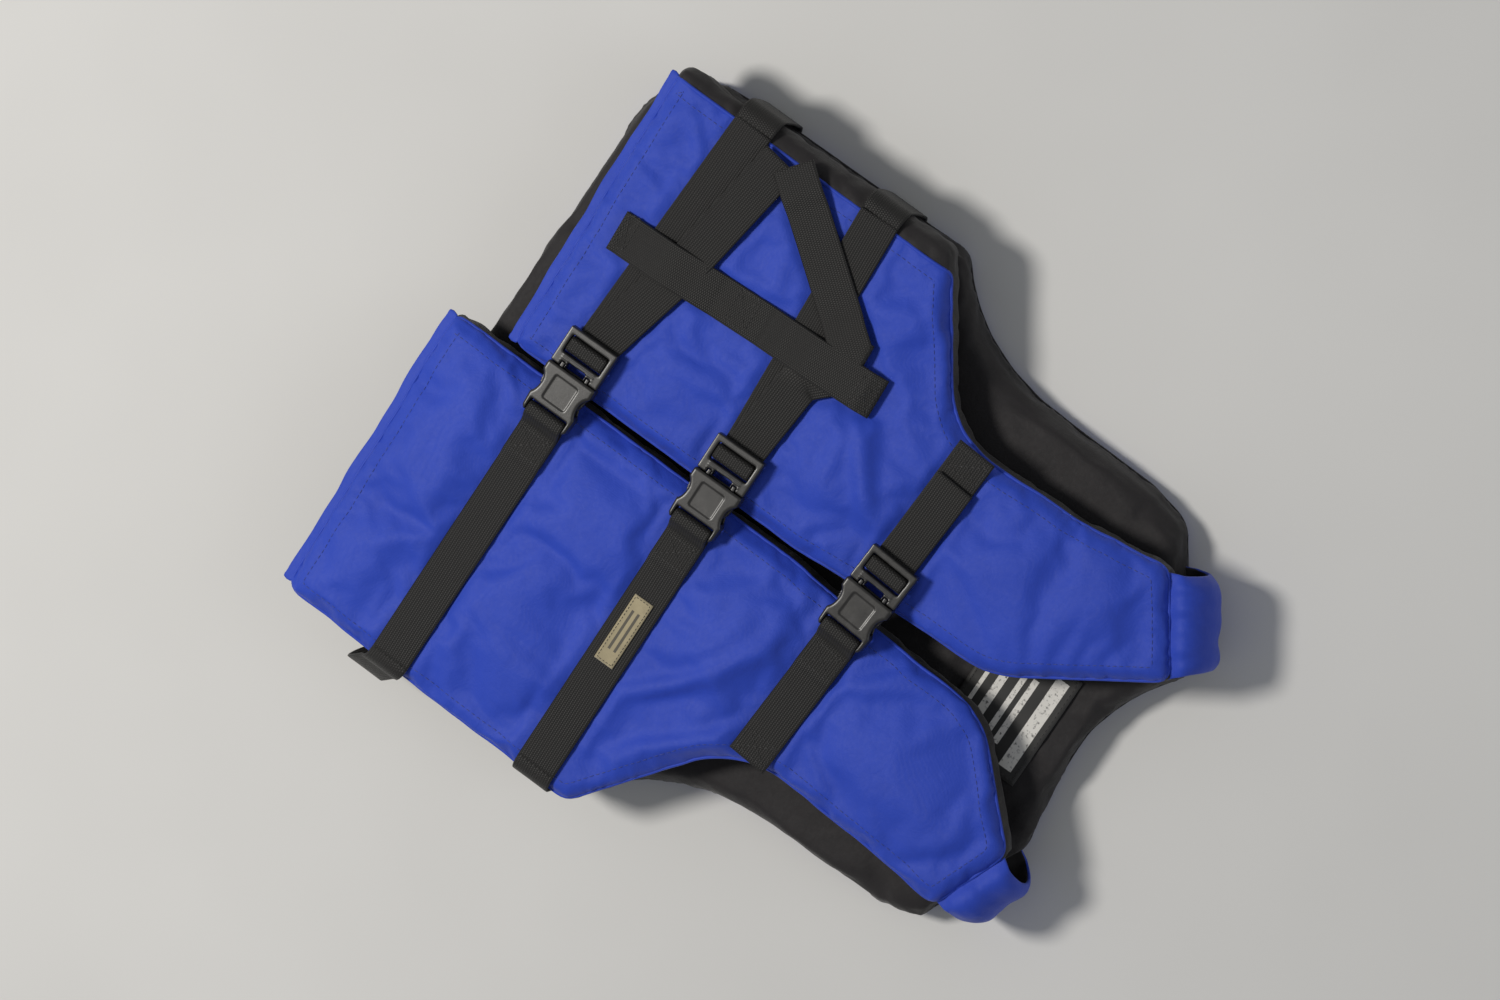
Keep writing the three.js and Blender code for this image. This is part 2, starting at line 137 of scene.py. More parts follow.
class Shader:
    """A material under construction: its nodes are made by short calls."""

    def __init__(self, name, roughness, specular=0.5, **principled):
        self.material = bpy.data.materials.new(name)
        self.material.use_nodes = True
        self.tree = self.material.node_tree
        self.out = self.tree.nodes["Principled BSDF"]
        self.out.inputs["Roughness"].default_value = roughness
        self.out.inputs["Specular IOR Level"].default_value = specular
        for socket, value in principled.items():
            self.out.inputs[socket.replace("_", " ")].default_value = value

    def node(self, kind, inputs=(), **settings):
        made = self.tree.nodes.new("ShaderNode" + kind)
        for key, value in settings.items():
            setattr(made, key, value)
        for key, value in dict(inputs).items():
            if isinstance(value, bpy.types.NodeSocket):
                self.tree.links.new(value, made.inputs[key])
            else:
                made.inputs[key].default_value = value
        return made

    def coordinates(self, kind="Object"):
        return self.node("TexCoord").outputs[kind]

    def noise(self, vector, scale, detail=4, roughness=0.55, distortion=0.0):
        inputs = {
            "Vector": vector,
            "Scale": scale,
            "Detail": detail,
            "Roughness": roughness,
            "Distortion": distortion,
        }
        return self.node("TexNoise", inputs).outputs["Fac"]

    def bands(self, vector, pitch, direction, profile="SIN"):
        """Even bands, one per pitch in metres."""
        inputs = {"Vector": vector, "Scale": WAVE_SCALE / pitch}
        made = self.node("TexWave", inputs, bands_direction=direction, wave_profile=profile)
        return made.outputs["Fac"]

    def math(self, operation, a, b=0.0, clamp=False):
        return self.node("Math", {0: a, 1: b}, operation=operation, use_clamp=clamp).outputs[0]

    def ramp(self, value, *stops):
        made = self.node("ValToRGB", {"Fac": value})
        elements = made.color_ramp.elements
        while len(elements) < len(stops):
            elements.new(0.5)
        for element, (position, colour) in zip(elements, stops):
            element.position = position
            element.color = colour if len(colour) == 4 else (*colour, 1)
        return made.outputs["Color"]

    def range(self, value, low_out, high_out, low_in=0.0, high_in=1.0):
        inputs = {
            "Value": value,
            "From Min": low_in,
            "From Max": high_in,
            "To Min": low_out,
            "To Max": high_out,
        }
        return self.node("MapRange", inputs).outputs["Result"]

    def colour(self, value):
        self.tree.links.new(value, self.out.inputs["Base Color"])

    def rough(self, value):
        self.tree.links.new(value, self.out.inputs["Roughness"])

    def bump(self, *layers):
        """Each layer is (height from 0 to 1, depth in metres)."""
        normal = None
        for height, depth in layers:
            inputs = {"Height": height, "Distance": depth, "Strength": 1.0}
            if normal:
                inputs["Normal"] = normal
            normal = self.node("Bump", inputs).outputs["Normal"]
        self.tree.links.new(normal, self.out.inputs["Normal"])


def scaled(colour, factor):
    return tuple(c * factor for c in colour)


def woven_nylon(name, colour, roughness=0.58, sheen=0.10, thread=0.55 * MM, dust=0.01):
    """Plain-woven packcloth: crossing threads, fine crinkles and a slow drift of colour."""
    s = Shader(name, roughness, 0.35, Sheen_Weight=sheen, Sheen_Roughness=0.45)
    place = s.coordinates()
    drift = s.noise(place, 14, 5)
    crinkle = s.noise(place, 95, 6, 0.6, 0.8)
    lint = s.noise(place, 420, 3)
    tone = s.math("ADD", s.math("MULTIPLY", drift, 0.6), s.math("MULTIPLY", crinkle, 0.4))
    faded = tuple(c * 1.08 + dust * 0.35 for c in colour)
    s.colour(s.ramp(tone, (0.25, scaled(colour, 0.9)), (0.5, colour), (0.78, faded)))
    s.rough(s.range(lint, roughness - 0.08, roughness + 0.12))
    across = s.bands(place, thread, "X")
    along = s.bands(place, thread, "Y")
    upright = s.bands(place, thread, "Z")
    weave = s.math("MULTIPLY", s.math("MAXIMUM", across, upright), along)
    s.bump((crinkle, 0.4 * MM), (lint, 0.10 * MM), (weave, 0.06 * MM))
    return s.material


def webbing(name, colour):
    """Ribbed belt webbing, with painted shade in the grooves between its ribs and painted highlight on their
    crests. Its UV map is in metres: along the belt, then across it.
    """
    s = Shader(name, 0.55, 0.4, Sheen_Weight=0.06, Sheen_Roughness=0.5)
    uv = s.node("SeparateXYZ", {"Vector": s.coordinates("UV")}).outputs
    column = s.math("DIVIDE", uv["Y"], 1.55 * MM)
    stagger = s.math("MULTIPLY", s.math("FLOOR", column), 0.5)
    row = s.math("ADD", s.math("DIVIDE", uv["X"], 1.3 * MM), stagger)
    rib = s.math("PINGPONG", row, 0.5)
    cord = s.math("PINGPONG", column, 0.5)
    height = s.math("MULTIPLY", s.math("POWER", s.math("MULTIPLY", rib, 2), 0.6),
                    s.math("POWER", s.math("MULTIPLY", cord, 2), 0.5))
    fuzz = s.noise(s.coordinates(), 900, 3)
    wear = s.noise(s.coordinates(), 35, 4)
    # painted shade and highlight: the colour follows the ribs' height, darker in the grooves and lighter on
    # the crests, mixed with slow random patches
    tone = s.math("ADD", s.math("MULTIPLY", height, 0.55), s.math("MULTIPLY", wear, 0.45))
    s.colour(s.ramp(tone, (0.15, scaled(colour, 0.35)), (0.55, colour), (0.95, scaled(colour, 1.9))))
    s.rough(s.range(wear, 0.48, 0.66))
    s.bump((height, 0.28 * MM), (fuzz, 0.05 * MM))
    return s.material


def moulded_plastic(name, colour):
    """Injection-moulded acetal with a fine grain, rubbed brighter here and there."""
    s = Shader(name, 0.32, 0.5, Coat_Weight=0.12, Coat_Roughness=0.25)
    place = s.coordinates()
    grain = s.noise(place, 2600, 2)
    rubs = s.noise(place, 140, 5, 0.65)
    s.colour(s.ramp(rubs, (0.3, scaled(colour, 0.8)), (0.6, colour), (0.85, scaled(colour, 1.7))))
    s.rough(s.range(rubs, 0.26, 0.46))
    s.bump((grain, 0.03 * MM), (rubs, 0.05 * MM))
    return s.material


def thread(name, colour):
    s = Shader(name, 0.5, 0.4, Sheen_Weight=0.2)
    twist = s.bands(s.coordinates(), 0.5 * MM, "DIAGONAL")
    s.colour(s.ramp(twist, (0.0, scaled(colour, 0.6)), (1.0, scaled(colour, 1.25))))
    s.bump((twist, 0.06 * MM))
    return s.material


def woven_label(name, ground, mark):
    """A damask label: fine ribs, with two plain woven bars and a border. UV runs 0 to 1."""
    s = Shader(name, 0.6, 0.4, Sheen_Weight=0.3)
    uv = s.node("SeparateXYZ", {"Vector": s.coordinates("UV")}).outputs
    ribs = s.bands(s.coordinates(), 0.6 * MM, "X")
    inside_x = s.math("LESS_THAN", s.math("ABSOLUTE", s.math("SUBTRACT", uv["X"], 0.5)), 0.3)
    off_middle = s.math("ABSOLUTE", s.math("SUBTRACT", uv["Y"], 0.5))
    bars = s.math("MULTIPLY", s.math("GREATER_THAN", off_middle, 0.09), s.math("LESS_THAN", off_middle, 0.22))
    stain = s.noise(s.coordinates(), 160, 4)
    cloth = s.ramp(s.math("ADD", s.math("MULTIPLY", ribs, 0.3), s.math("MULTIPLY", stain, 0.7)),
                   (0.2, scaled(ground, 0.72)), (0.75, scaled(ground, 1.1)))
    mix = s.node("Mix", {"Factor": s.math("MULTIPLY", inside_x, bars), 6: cloth, 7: (*mark, 1)},
                 data_type="RGBA")
    s.colour(mix.outputs[2])
    s.bump((ribs, 0.1 * MM), (stain, 0.1 * MM))
    return s.material


def printed_label(name, ground, ink):
    """A size and care patch with its words left out: plain bars of ink on dark cloth."""
    s = Shader(name, 0.55, 0.4, Sheen_Weight=0.15)
    uv = s.node("SeparateXYZ", {"Vector": s.coordinates("UV")}).outputs
    from_middle = s.math("ABSOLUTE", s.math("SUBTRACT", uv["X"], 0.5))
    masks = []
    for middle, half_height, half_width in ((0.83, 0.075, 0.42), (0.6, 0.035, 0.3), (0.48, 0.03, 0.34),
                                            (0.3, 0.045, 0.2), (0.14, 0.022, 0.26)):
        off = s.math("ABSOLUTE", s.math("SUBTRACT", uv["Y"], middle))
        masks.append(s.math("MULTIPLY", s.math("LESS_THAN", off, half_height),
                            s.math("LESS_THAN", from_middle, half_width)))
    printed = masks[0]
    for mask in masks[1:]:
        printed = s.math("MAXIMUM", printed, mask)
    worn = s.noise(s.coordinates(), 380, 5, 0.7)
    printed = s.math("MULTIPLY", printed, s.range(worn, 0.0, 1.0, 0.32, 0.46))
    mix = s.node("Mix", {"Factor": printed, 6: (*ground, 1), 7: (*ink, 1)}, data_type="RGBA")
    s.colour(mix.outputs[2])
    weave = s.bands(s.coordinates(), 0.5 * MM, "X")
    s.bump((weave, 0.05 * MM))
    return s.material


BLUE = (0.017, 0.054, 0.45)
CHARCOAL = (0.016, 0.014, 0.015)
BLACK = (0.0085, 0.0078, 0.0072)
shell_cloth = woven_nylon("shell_nylon", BLUE)
lining_cloth = woven_nylon("lining_nylon", CHARCOAL, roughness=0.66, sheen=0.12, dust=0.008)
belt_web = webbing("belt_webbing", BLACK)
acetal = moulded_plastic("buckle_acetal", (0.020, 0.019, 0.018))
blue_thread = thread("shell_thread", (0.03, 0.055, 0.30))
black_thread = thread("belt_thread", (0.022, 0.021, 0.021))
label_weave = woven_label("label_weave", (0.40, 0.34, 0.21), (0.10, 0.09, 0.07))
label_print = printed_label("label_print", (0.03, 0.029, 0.028), (0.72, 0.70, 0.66))

# ---- Mesh helpers -------------------------------------------------------------------------


def mesh_object(name, vertices, faces, *materials, uvs=None):
    mesh = bpy.data.meshes.new(name)
    mesh.from_pydata([tuple(v) for v in vertices], [], faces)
    mesh.validate()
    for material in materials:
        mesh.materials.append(material)
    if uvs is not None:
        layer = mesh.uv_layers.new(name="UVMap")
        for loop in mesh.loops:
            layer.data[loop.index].uv = uvs[loop.vertex_index]
    return smooth(linked(name, mesh))


def linked(name, data):
    """A new object in the scene."""
    made = bpy.data.objects.new(name, data)
    bpy.context.scene.collection.objects.link(made)
    return made


@contextmanager
def opened(source, target=None):
    """A mesh's editable copy, written to another mesh at the end, if one is given."""
    mesh = bmesh.new()
    mesh.from_mesh(source)
    yield mesh
    if target:
        mesh.to_mesh(target)
    mesh.free()


def smooth(obj):
    obj.data.polygons.foreach_set("use_smooth", [True] * len(obj.data.polygons))
    return obj


def flip_outwards(obj):
    with opened(obj.data, obj.data) as mesh:
        bmesh.ops.recalc_face_normals(mesh, faces=mesh.faces[:])


def bake_modifiers(obj):
    """Applies all the modifiers of an object to its mesh."""
    bpy.context.view_layer.update()
    evaluated = obj.evaluated_get(bpy.context.evaluated_depsgraph_get())
    mesh = bpy.data.meshes.new_from_object(evaluated)
    old = obj.data
    obj.modifiers.clear()
    obj.data = mesh
    bpy.data.meshes.remove(old)
    return smooth(obj)


def remeshed(obj, size):
    modifier = obj.modifiers.new("remesh", "REMESH")
    modifier.mode = "VOXEL"
    modifier.voxel_size = size
    modifier.use_smooth_shade = True
    return bake_modifiers(obj)


def subdivided(obj, levels=1):
    obj.modifiers.new("subdivision", "SUBSURF").levels = levels
    return bake_modifiers(obj)


def points_of(obj):
    co = np.empty(len(obj.data.vertices) * 3, np.float32)
    obj.data.vertices.foreach_get("co", co)
    return co.reshape(-1, 3).astype(float)


def set_points(obj, points):
    obj.data.vertices.foreach_set("co", points.astype(np.float32).ravel())
    obj.data.update()


def normals_of(obj):
    n = np.empty(len(obj.data.vertices) * 3, np.float32)
    obj.data.vertices.foreach_get("normal", n)
    return n.reshape(-1, 3).astype(float)


def loops_of(edges):
    """Chains of vertices along edges that form closed rings, longest first."""
    links = {}
    for a, b in edges:
        links.setdefault(a, []).append(b)
        links.setdefault(b, []).append(a)
    rings, used = [], set()
    for start in links:
        if start in used:
            continue
        ring, at = [start], start
        used.add(start)
        while True:
            following = [v for v in links[at] if v not in used]
            if not following:
                break
            at = following[0]
            used.add(at)
            ring.append(at)
        rings.append(ring)
    return sorted(rings, key=len, reverse=True)


def area(loop):
    return sum(a[0] * b[1] - b[0] * a[1] for a, b in zip(loop, loop[1:] + loop[:1])) / 2


def outline(node, z):
    """The outer line of a CAD node at a height, anticlockwise, as 2D points."""
    with opened(frame["nodes"][node].data) as mesh:
        bmesh.ops.remove_doubles(mesh, verts=mesh.verts[:], dist=1e-6)
        geometry = mesh.verts[:] + mesh.edges[:] + mesh.faces[:]
        cut = bmesh.ops.bisect_plane(mesh, geom=geometry, plane_co=(0, 0, z), plane_no=(0, 0, 1))
        edges = [g.verts[:] for g in cut["geom_cut"] if isinstance(g, bmesh.types.BMEdge)]
        rings = [[(v.co.x, v.co.y) for v in ring] for ring in loops_of(edges)]
    widest = max(rings, key=lambda ring: abs(area(ring)))
    widest = widest if area(widest) > 0 else widest[::-1]
    kept = []  # leave out the points that lie on a straight stretch
    for i, point in enumerate(widest):
        before, after = Vector(widest[i - 1]), Vector(widest[(i + 1) % len(widest)])
        turn = (Vector(point) - before).angle_signed(after - Vector(point), 0)
        if abs(turn) > 0.01:
            kept.append(point)
    return kept


def moved_in(loop, distance):
    """A closed line moved inwards by an even distance, mitred at its corners."""
    made = []
    for i, point in enumerate(loop):
        p = Vector(point)
        into = (p - Vector(loop[i - 1])).normalized()
        out = (Vector(loop[(i + 1) % len(loop)]) - p).normalized()
        mitre = (Vector((-into.y, into.x)) + Vector((-out.y, out.x))).normalized()
        reach = distance / max(0.6, mitre.dot(Vector((-into.y, into.x))))
        made.append(tuple(p + mitre * reach))
    return made


def distance_inside(points, loop):
    """How far each 2D point lies from a closed line."""
    ring = np.array(loop)
    best = np.full(len(points), 1e9)
    for a, b in zip(ring, np.roll(ring, -1, 0)):
        d = b - a
        t = np.clip(((points - a) @ d) / (d @ d), 0, 1)
        best = np.minimum(best, np.linalg.norm(points - (a + t[:, None] * d), axis=1))
    return best


def smoothstep(x):
    x = np.clip(x, 0, 1)
    return x * x * (3 - 2 * x)


def noise_at(points, size, seed):
    """Smooth noise from -1 to 1 at each point, with lumps of about that size in metres."""
    shift = Vector((seed * 7.31, seed * 3.17, seed * 5.77))
    return np.array([noise.noise(Vector(p) / size + shift) for p in points])


def sweep(name, path, section, material):
    """A tube of an even section round a closed path; the section's points are (side, up) in metres."""
    count, sides = len(path), len(section)
    vertices, faces = [], []
    for i, point in enumerate(path):
        along = (path[(i + 1) % count] - path[i - 1]).normalized()
        side = along.cross(Vector((0, 0, 1))).normalized()
        up = side.cross(along)
        vertices += [point + side * s + up * u for s, u in section]
    for i in range(count):
        j = (i + 1) % count
        for k in range(sides):
            m = (k + 1) % sides
            faces.append((i * sides + k, i * sides + m, j * sides + m, j * sides + k))
    return mesh_object(name, vertices, faces, material)


def tube_faces(rings, sides):
    """The faces between rings of vertices that follow each other."""
    return [
        (i * sides + k, i * sides + (k + 1) % sides, (i + 1) * sides + (k + 1) % sides, (i + 1) * sides + k)
        for i in range(rings - 1) for k in range(sides)
    ]


def end_faces(rings, sides):
    """The two faces that close such a tube."""
    return [tuple(range(sides))[::-1], tuple((rings - 1) * sides + k for k in range(sides))]


def grid_faces(rows, columns):
    """The faces of a sheet with one more vertex each way than it has faces."""
    corners = [i * (columns + 1) + k for i in range(rows) for k in range(columns)]
    return [(a, a + 1, a + columns + 2, a + columns + 1) for a in corners]


def circle(radius, sides):
    return [
        (radius * math.cos(2 * math.pi * k / sides), radius * math.sin(2 * math.pi * k / sides))
        for k in range(sides)
    ]


# ---- Belts: where they run ----------------------------------------------------------------


def buckle_frame(name):
    """A buckle's own frame: X along the belt from the socket's mouth, Z up from its underside."""
    at = {j["name"]: Vector(j["pos_m"]) for j in frame["joints"] if "pos_m" in j}
    upper, lower = at[name + "_latch_upper"], at[name + "_latch_lower"]
    across = (upper - lower).normalized()
    along = across.cross(Vector((0, 0, 1)))
    origin = (upper + lower) / 2 + along * ARM_SEAT - Vector((0, 0, ARM_HEIGHT))
    matrix = Matrix((along, across, Vector((0, 0, 1)))).transposed().to_4x4()
    matrix.translation = origin
    return matrix


def flat_path(node):
    """The middle line of a flat CAD belt, from its buckle outwards."""
    corners = sorted({(round(v.co.x, 5), round(v.co.y, 5)) for v in frame["nodes"][node].data.vertices})
    middles = [
        ((a[0] + b[0]) / 2, (a[1] + b[1]) / 2) for a, b in zip(corners[0::2], corners[1::2])
    ]
    return middles[::-1]


def divided(points, step=2.5 * MM):
    """A path with points no further apart than step."""
    line = []
    for a, b in zip(points, points[1:]):
        count = max(1, math.ceil((b - a).length / step))
        line += [a.lerp(b, i / count) for i in range(count)]
    return [*line, points[-1]]


def eased(line, rounds):
    """An open path with its corners eased and its ends where they were."""
    for _ in range(rounds):
        inner = [(p + q * 2 + r) / 4 for p, q, r in zip(line, line[1:], line[2:])]
        line = [line[0], *inner, line[-1]]
    return line


def finely(points, step=2.5 * MM):
    """A path with its corners eased and points no further apart than step."""
    return eased(divided([Vector(p) for p in points], step), 4)


def ribbon(name, centre, across, width=WEB_WIDTH, thickness=WEB_THICKNESS, crown=0.15 * MM):
    """Webbing along a middle line, with its width along the given directions."""
    halves = [w / 2 for w in width] if isinstance(width, list) else [width / 2] * len(centre)
    edge = thickness / 2
    columns = [-1, -0.985, -0.9, -0.5, 0, 0.5, 0.9, 0.985, 1]
    rise = [0.35, 0.85, 1, 0.94, 0.92, 0.94, 1, 0.85, 0.35]
    top = [(c, r * edge + crown * (1 - c * c)) for c, r in zip(columns, rise)]
    bottom = [(c, -r * edge + crown * (1 - c * c)) for c, r in zip(columns, rise)]
    section = top + bottom[::-1]
    vertices, uvs, run = [], [], 0.0
    for i, point in enumerate(centre):
        along = centre[min(i + 1, len(centre) - 1)] - centre[max(i - 1, 0)]
        side = (across[i] if isinstance(across, list) else across).normalized()
        up = along.cross(side).normalized()
        up = up if len(vertices) == 0 or up.dot(last_up) > 0 else -up
        last_up = up
        if i:
            run += (point - centre[i - 1]).length
        for c, u in section:
            vertices.append(point + side * c * halves[i] + up * u)
            uvs.append((run + side.dot(along.normalized()) * c * halves[i], (c + 1) * WEB_WIDTH / 2))
    sides = len(section)
    faces = tube_faces(len(centre), sides)
    last = (len(centre) - 1) * sides
    for k in range(len(columns) - 1):
        m = sides - 1 - k
        faces.append((k, m, m - 1, k + 1))
        faces.append((last + k, last + k + 1, last + m - 1, last + m))
    made = mesh_object(name, vertices, faces, belt_web, uvs=uvs)
    flip_outwards(made)
    return made


def ripple(points, amount, seed, size=45 * MM):
    """A path with slow waves in its height."""
    lifts = noise_at(points, size, seed)
    return [p + Vector((0, 0, amount * l)) for p, l in zip(points, lifts)]


def widths_along(path):
    """The width directions of a level path, eased, so that webbing turns a corner without a kink."""
    made = []
    for i in range(len(path)):
        along = path[min(i + 1, len(path) - 1)] - path[max(i - 1, 0)]
        made.append(Vector((-along.y, along.x, 0)).normalized())
    for _ in range(6):
        inner = [(a + b * 2 + c).normalized() for a, b, c in zip(made, made[1:], made[2:])]
        made = [made[0], *inner, made[-1]]
    return made


belt_lines = []  # (body, middle line) of what presses on each panel


def lay_belts():
    """The halves of the belts and their tails, on the two fronts."""
    for seed, name in enumerate(BELTS):
        matrix = buckle_frame(name)
        # the right half, and the tail that returns over it
        path = finely([(*p, BELT_HEIGHT) for p in flat_path(f"{name}_belt_right")])
        belt_lines.append(("right_front", path))
        piece = ribbon(f"{name}_belt_right_webbing", ripple(path, 0.2 * MM, seed), widths_along(path))
        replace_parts(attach(piece, "right_front"), f"{name}_belt_right")
        corners = flat_path(f"{name}_belt_tail")
        if len(corners) > 4:
            fold_tail(name, [Vector(p) for p in corners], BELT_HEIGHT + LAYER)
        else:
            lay_tail(name, corners, BELT_HEIGHT + LAYER, seed + 5)
        lay_left_half(name, matrix)


def lay_tail(name, corners, height, seed):
    """A tail that lies along its belt, flat under the plug's way and a little wavy after it."""
    tail = finely([(*p, height) for p in corners])
    belt_lines.append(("right_front", tail))
    reach = np.array([(p - tail[0]).length for p in tail])
    free = smoothstep((reach - PLUG_TRAVEL) / (reach[-1] - PLUG_TRAVEL))
    lifts = noise_at(tail, 38 * MM, seed)
    lifted = [p + Vector((0, 0, 1.8 * MM * f * (0.7 + l))) for p, f, l in zip(tail, free, lifts)]
    piece = ribbon(f"{name}_tail_webbing", lifted, widths_along(tail))
    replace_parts(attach(piece, "right_front"), f"{name}_belt_tail")


def lay_left_half(name, matrix):
    """The half that is folded round the socket's bar and sewn down on itself."""
    path = left_path(matrix, Vector(flat_end(f"{name}_belt_left")))
    belt_lines.append(("left_front", [p for p in path if p.z < BELT_HEIGHT + AIR]))
    piece = ribbon(f"{name}_belt_left_webbing", path, Vector(matrix.col[1][:3]))
    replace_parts(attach(piece, "left_front"), f"{name}_belt_left")


def fold_tail(name, corners, height):
    """A tail that is folded over on the slant, where it turns away from its belt."""
    start, before, near, far, end = corners
    first, second = (near - before).normalized(), (end - far).normalized()
    meet = near + first * ((far - near).cross(second) / first.cross(second))
    crease = (first + second).normalized()
    out = Vector((-crease.y, crease.x))
    out = out if out.dot(first) > 0 else -out
    radius = 1.15 * MM
    slant = 34 * MM  # the webbing's width turns to the crease over this length
    spare = 17 * MM  # longer than the CAD tail, so that the end lies on the lower tail
    path, across, widths = [], [], []

    def add(point, z, direction, skew):
        square = Vector((-direction.y, direction.x))
        square = square if square.dot(crease) > 0 else -square
        line = square.lerp(crease, skew).normalized()
        path.append(Vector((point.x, point.y, z)))
        across.append(Vector((line.x, line.y, 0)))
        widths.append(WEB_WIDTH / abs(direction.cross(line)))

    leg = finely([(*start, 0), (*before, 0), (*meet, 0)])
    for i, p in enumerate(leg):
        flat = Vector(p[:2])
        ahead = (Vector(leg[min(i + 1, len(leg) - 1)][:2]) - Vector(leg[max(i - 1, 0)][:2])).normalized()
        add(flat, height, ahead, float(smoothstep(1 - (meet - flat).length / slant)))
    for k in range(1, 6):
        angle = math.pi * k / 6
        turn = meet + out * radius * math.sin(angle)
        path.append(Vector((turn.x, turn.y, height + radius * (1 - math.cos(angle)))))
        across.append(Vector((crease.x, crease.y, 0)))
        widths.append(widths[-1])
    length = (end - meet).length + spare
    count = math.ceil(length / (2.5 * MM))
    for k in range(count + 1):
        at = length * k / count
        settle = float(smoothstep((at - 18 * MM) / (16 * MM)))
        climb = float(smoothstep((at - length + 30 * MM) / (14 * MM)))
        z = height + 2 * radius * (1 - settle) + (LAYER + 0.5 * MM) * climb
        add(meet + second * at, z, second, float(smoothstep(1 - at / slant)))
    turned = len(leg) + 5
    waves = noise_at(path[turned:], 40 * MM, 6)
    for k, wave in enumerate(waves):
        path[turned + k].z += float(smoothstep((k - 12) / 10)) * 0.8 * MM * (wave + 0.5)
    belt_lines.append(("right_front", path[:turned]))
    belt_lines.append(("right_front", path[turned:]))
    piece = ribbon(f"{name}_tail_webbing", path, across, widths, crown=0)
    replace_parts(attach(piece, "right_front"), f"{name}_belt_tail")


def flat_end(node):
    """The middle of the far end of a CAD belt, in the plan."""
    reach = high(node).x
    tip = [v.co for v in frame["nodes"][node].data.vertices if v.co.x > reach - 2.5 * MM]
    return (sum(v.x for v in tip) / len(tip), sum(v.y for v in tip) / len(tip))


def left_path(matrix, end):
    """Round the socket's bar, back over itself and out to its far end."""
    middle = BODY_HEIGHT / 2
    rise = BAR_HEIGHT / 2 + AIR + WEB_THICKNESS / 2
    bend = BODY_LENGTH - BAR - AIR - WEB_THICKNESS / 2
    level = BELT_HEIGHT - matrix.translation.z
    sewn = BODY_LENGTH + 26 * MM
    length = (end - Vector(matrix.translation[:2])).length
    profile = [
        (sewn, level), (BODY_LENGTH + 5 * MM, level), (BODY_LENGTH - 0.5 * MM, middle - rise),
        (bend + 0.8 * MM, middle - rise), (bend - 0.1 * MM, middle - rise + 1 * MM),
        (bend - 0.1 * MM, middle + rise - 1 * MM), (bend + 0.8 * MM, middle + rise),
        (BODY_LENGTH + 0.8 * MM, middle + rise), (BODY_LENGTH + 7 * MM, level + LAYER),
        (sewn + 1 * MM, level + LAYER), (sewn + 6 * MM, level), (length, level),
    ]
    fine = divided([Vector((x, 0, z)) for x, z in profile])
    return [matrix @ p for p in eased(fine, 1)]

# ---- Pads ---------------------------------------------------------------------------------


def pillow(name, loop, bottom, top, edge):
    """A closed form with the given outline and rounded edges."""
    steps = 4
    rings = []
    for i in range(steps + 1):
        angle = math.pi / 2 * i / steps
        rings.append((edge * (1 - math.sin(angle)), bottom + edge * (1 - math.cos(angle))))
    rings += [(inset, top - (z - bottom)) for inset, z in rings[::-1]]
    vertices = [(x, y, z) for inset, z in rings for x, y in moved_in(loop, inset)]
    faces = tube_faces(len(rings), len(loop)) + end_faces(len(rings), len(loop))
    return mesh_object(name, vertices, faces)


def cut_at(obj, reach, axis=Vector((0, 0, 1))):
    """Adds a ring of edges round an object, square to an axis."""
    with opened(obj.data, obj.data) as mesh:
        geometry = mesh.verts[:] + mesh.edges[:] + mesh.faces[:]
        bmesh.ops.bisect_plane(mesh, geom=geometry, dist=0.9 * MM, plane_co=axis * reach,
                               plane_no=axis, use_snap_center=True)


def swell(obj, held, grow, pressure, frames=18, cap=7 * MM):
    """Lets the cloth of a pad swell against what holds it. held is 1 where it can't move."""
    before = points_of(obj)
    group = obj.vertex_groups.new(name="held")
    for i in np.nonzero(held > 0)[0]:
        group.add([int(i)], float(held[i]), "REPLACE")
    modifier = obj.modifiers.new("cloth", "CLOTH")
    cloth = modifier.settings
    cloth.quality = 5
    cloth.mass = 0.12
    cloth.tension_stiffness = cloth.compression_stiffness = 18
    cloth.shear_stiffness = 6
    cloth.bending_stiffness = 0.35
    cloth.vertex_group_mass = "held"
    cloth.pin_stiffness = 1
    cloth.use_pressure = True
    cloth.uniform_pressure_force = pressure
    cloth.shrink_min = -grow
    cloth.effector_weights.gravity = 0
    modifier.collision_settings.use_collision = False
    modifier.point_cache.frame_start = 1
    modifier.point_cache.frame_end = frames
    scene = bpy.context.scene
    for number in range(1, frames + 1):
        scene.frame_set(number)
    bake_modifiers(obj)
    scene.frame_set(1)
    after = points_of(obj)
    step = after - before
    length = np.linalg.norm(step, axis=1)
    factor = np.minimum(1, cap / np.maximum(length, 1e-9))
    set_points(obj, before + step * factor[:, None])
    obj.vertex_groups.clear()


def near_lines(points, lines, reach):
    """1 where a point lies under one of the lines in the plan, fading to 0 past reach."""
    best = np.full(len(points), 1e9)
    for line in lines:
        path = np.array([(p.x, p.y) for p in line])
        for a, b in zip(path[:-4:4], path[4::4]):
            d = b - a
            t = np.clip(((points[:, :2] - a) @ d) / max(d @ d, 1e-12), 0, 1)
            best = np.minimum(best, np.linalg.norm(points[:, :2] - (a + t[:, None] * d), axis=1))
    return 1 - smoothstep((best - reach) / (5 * MM))


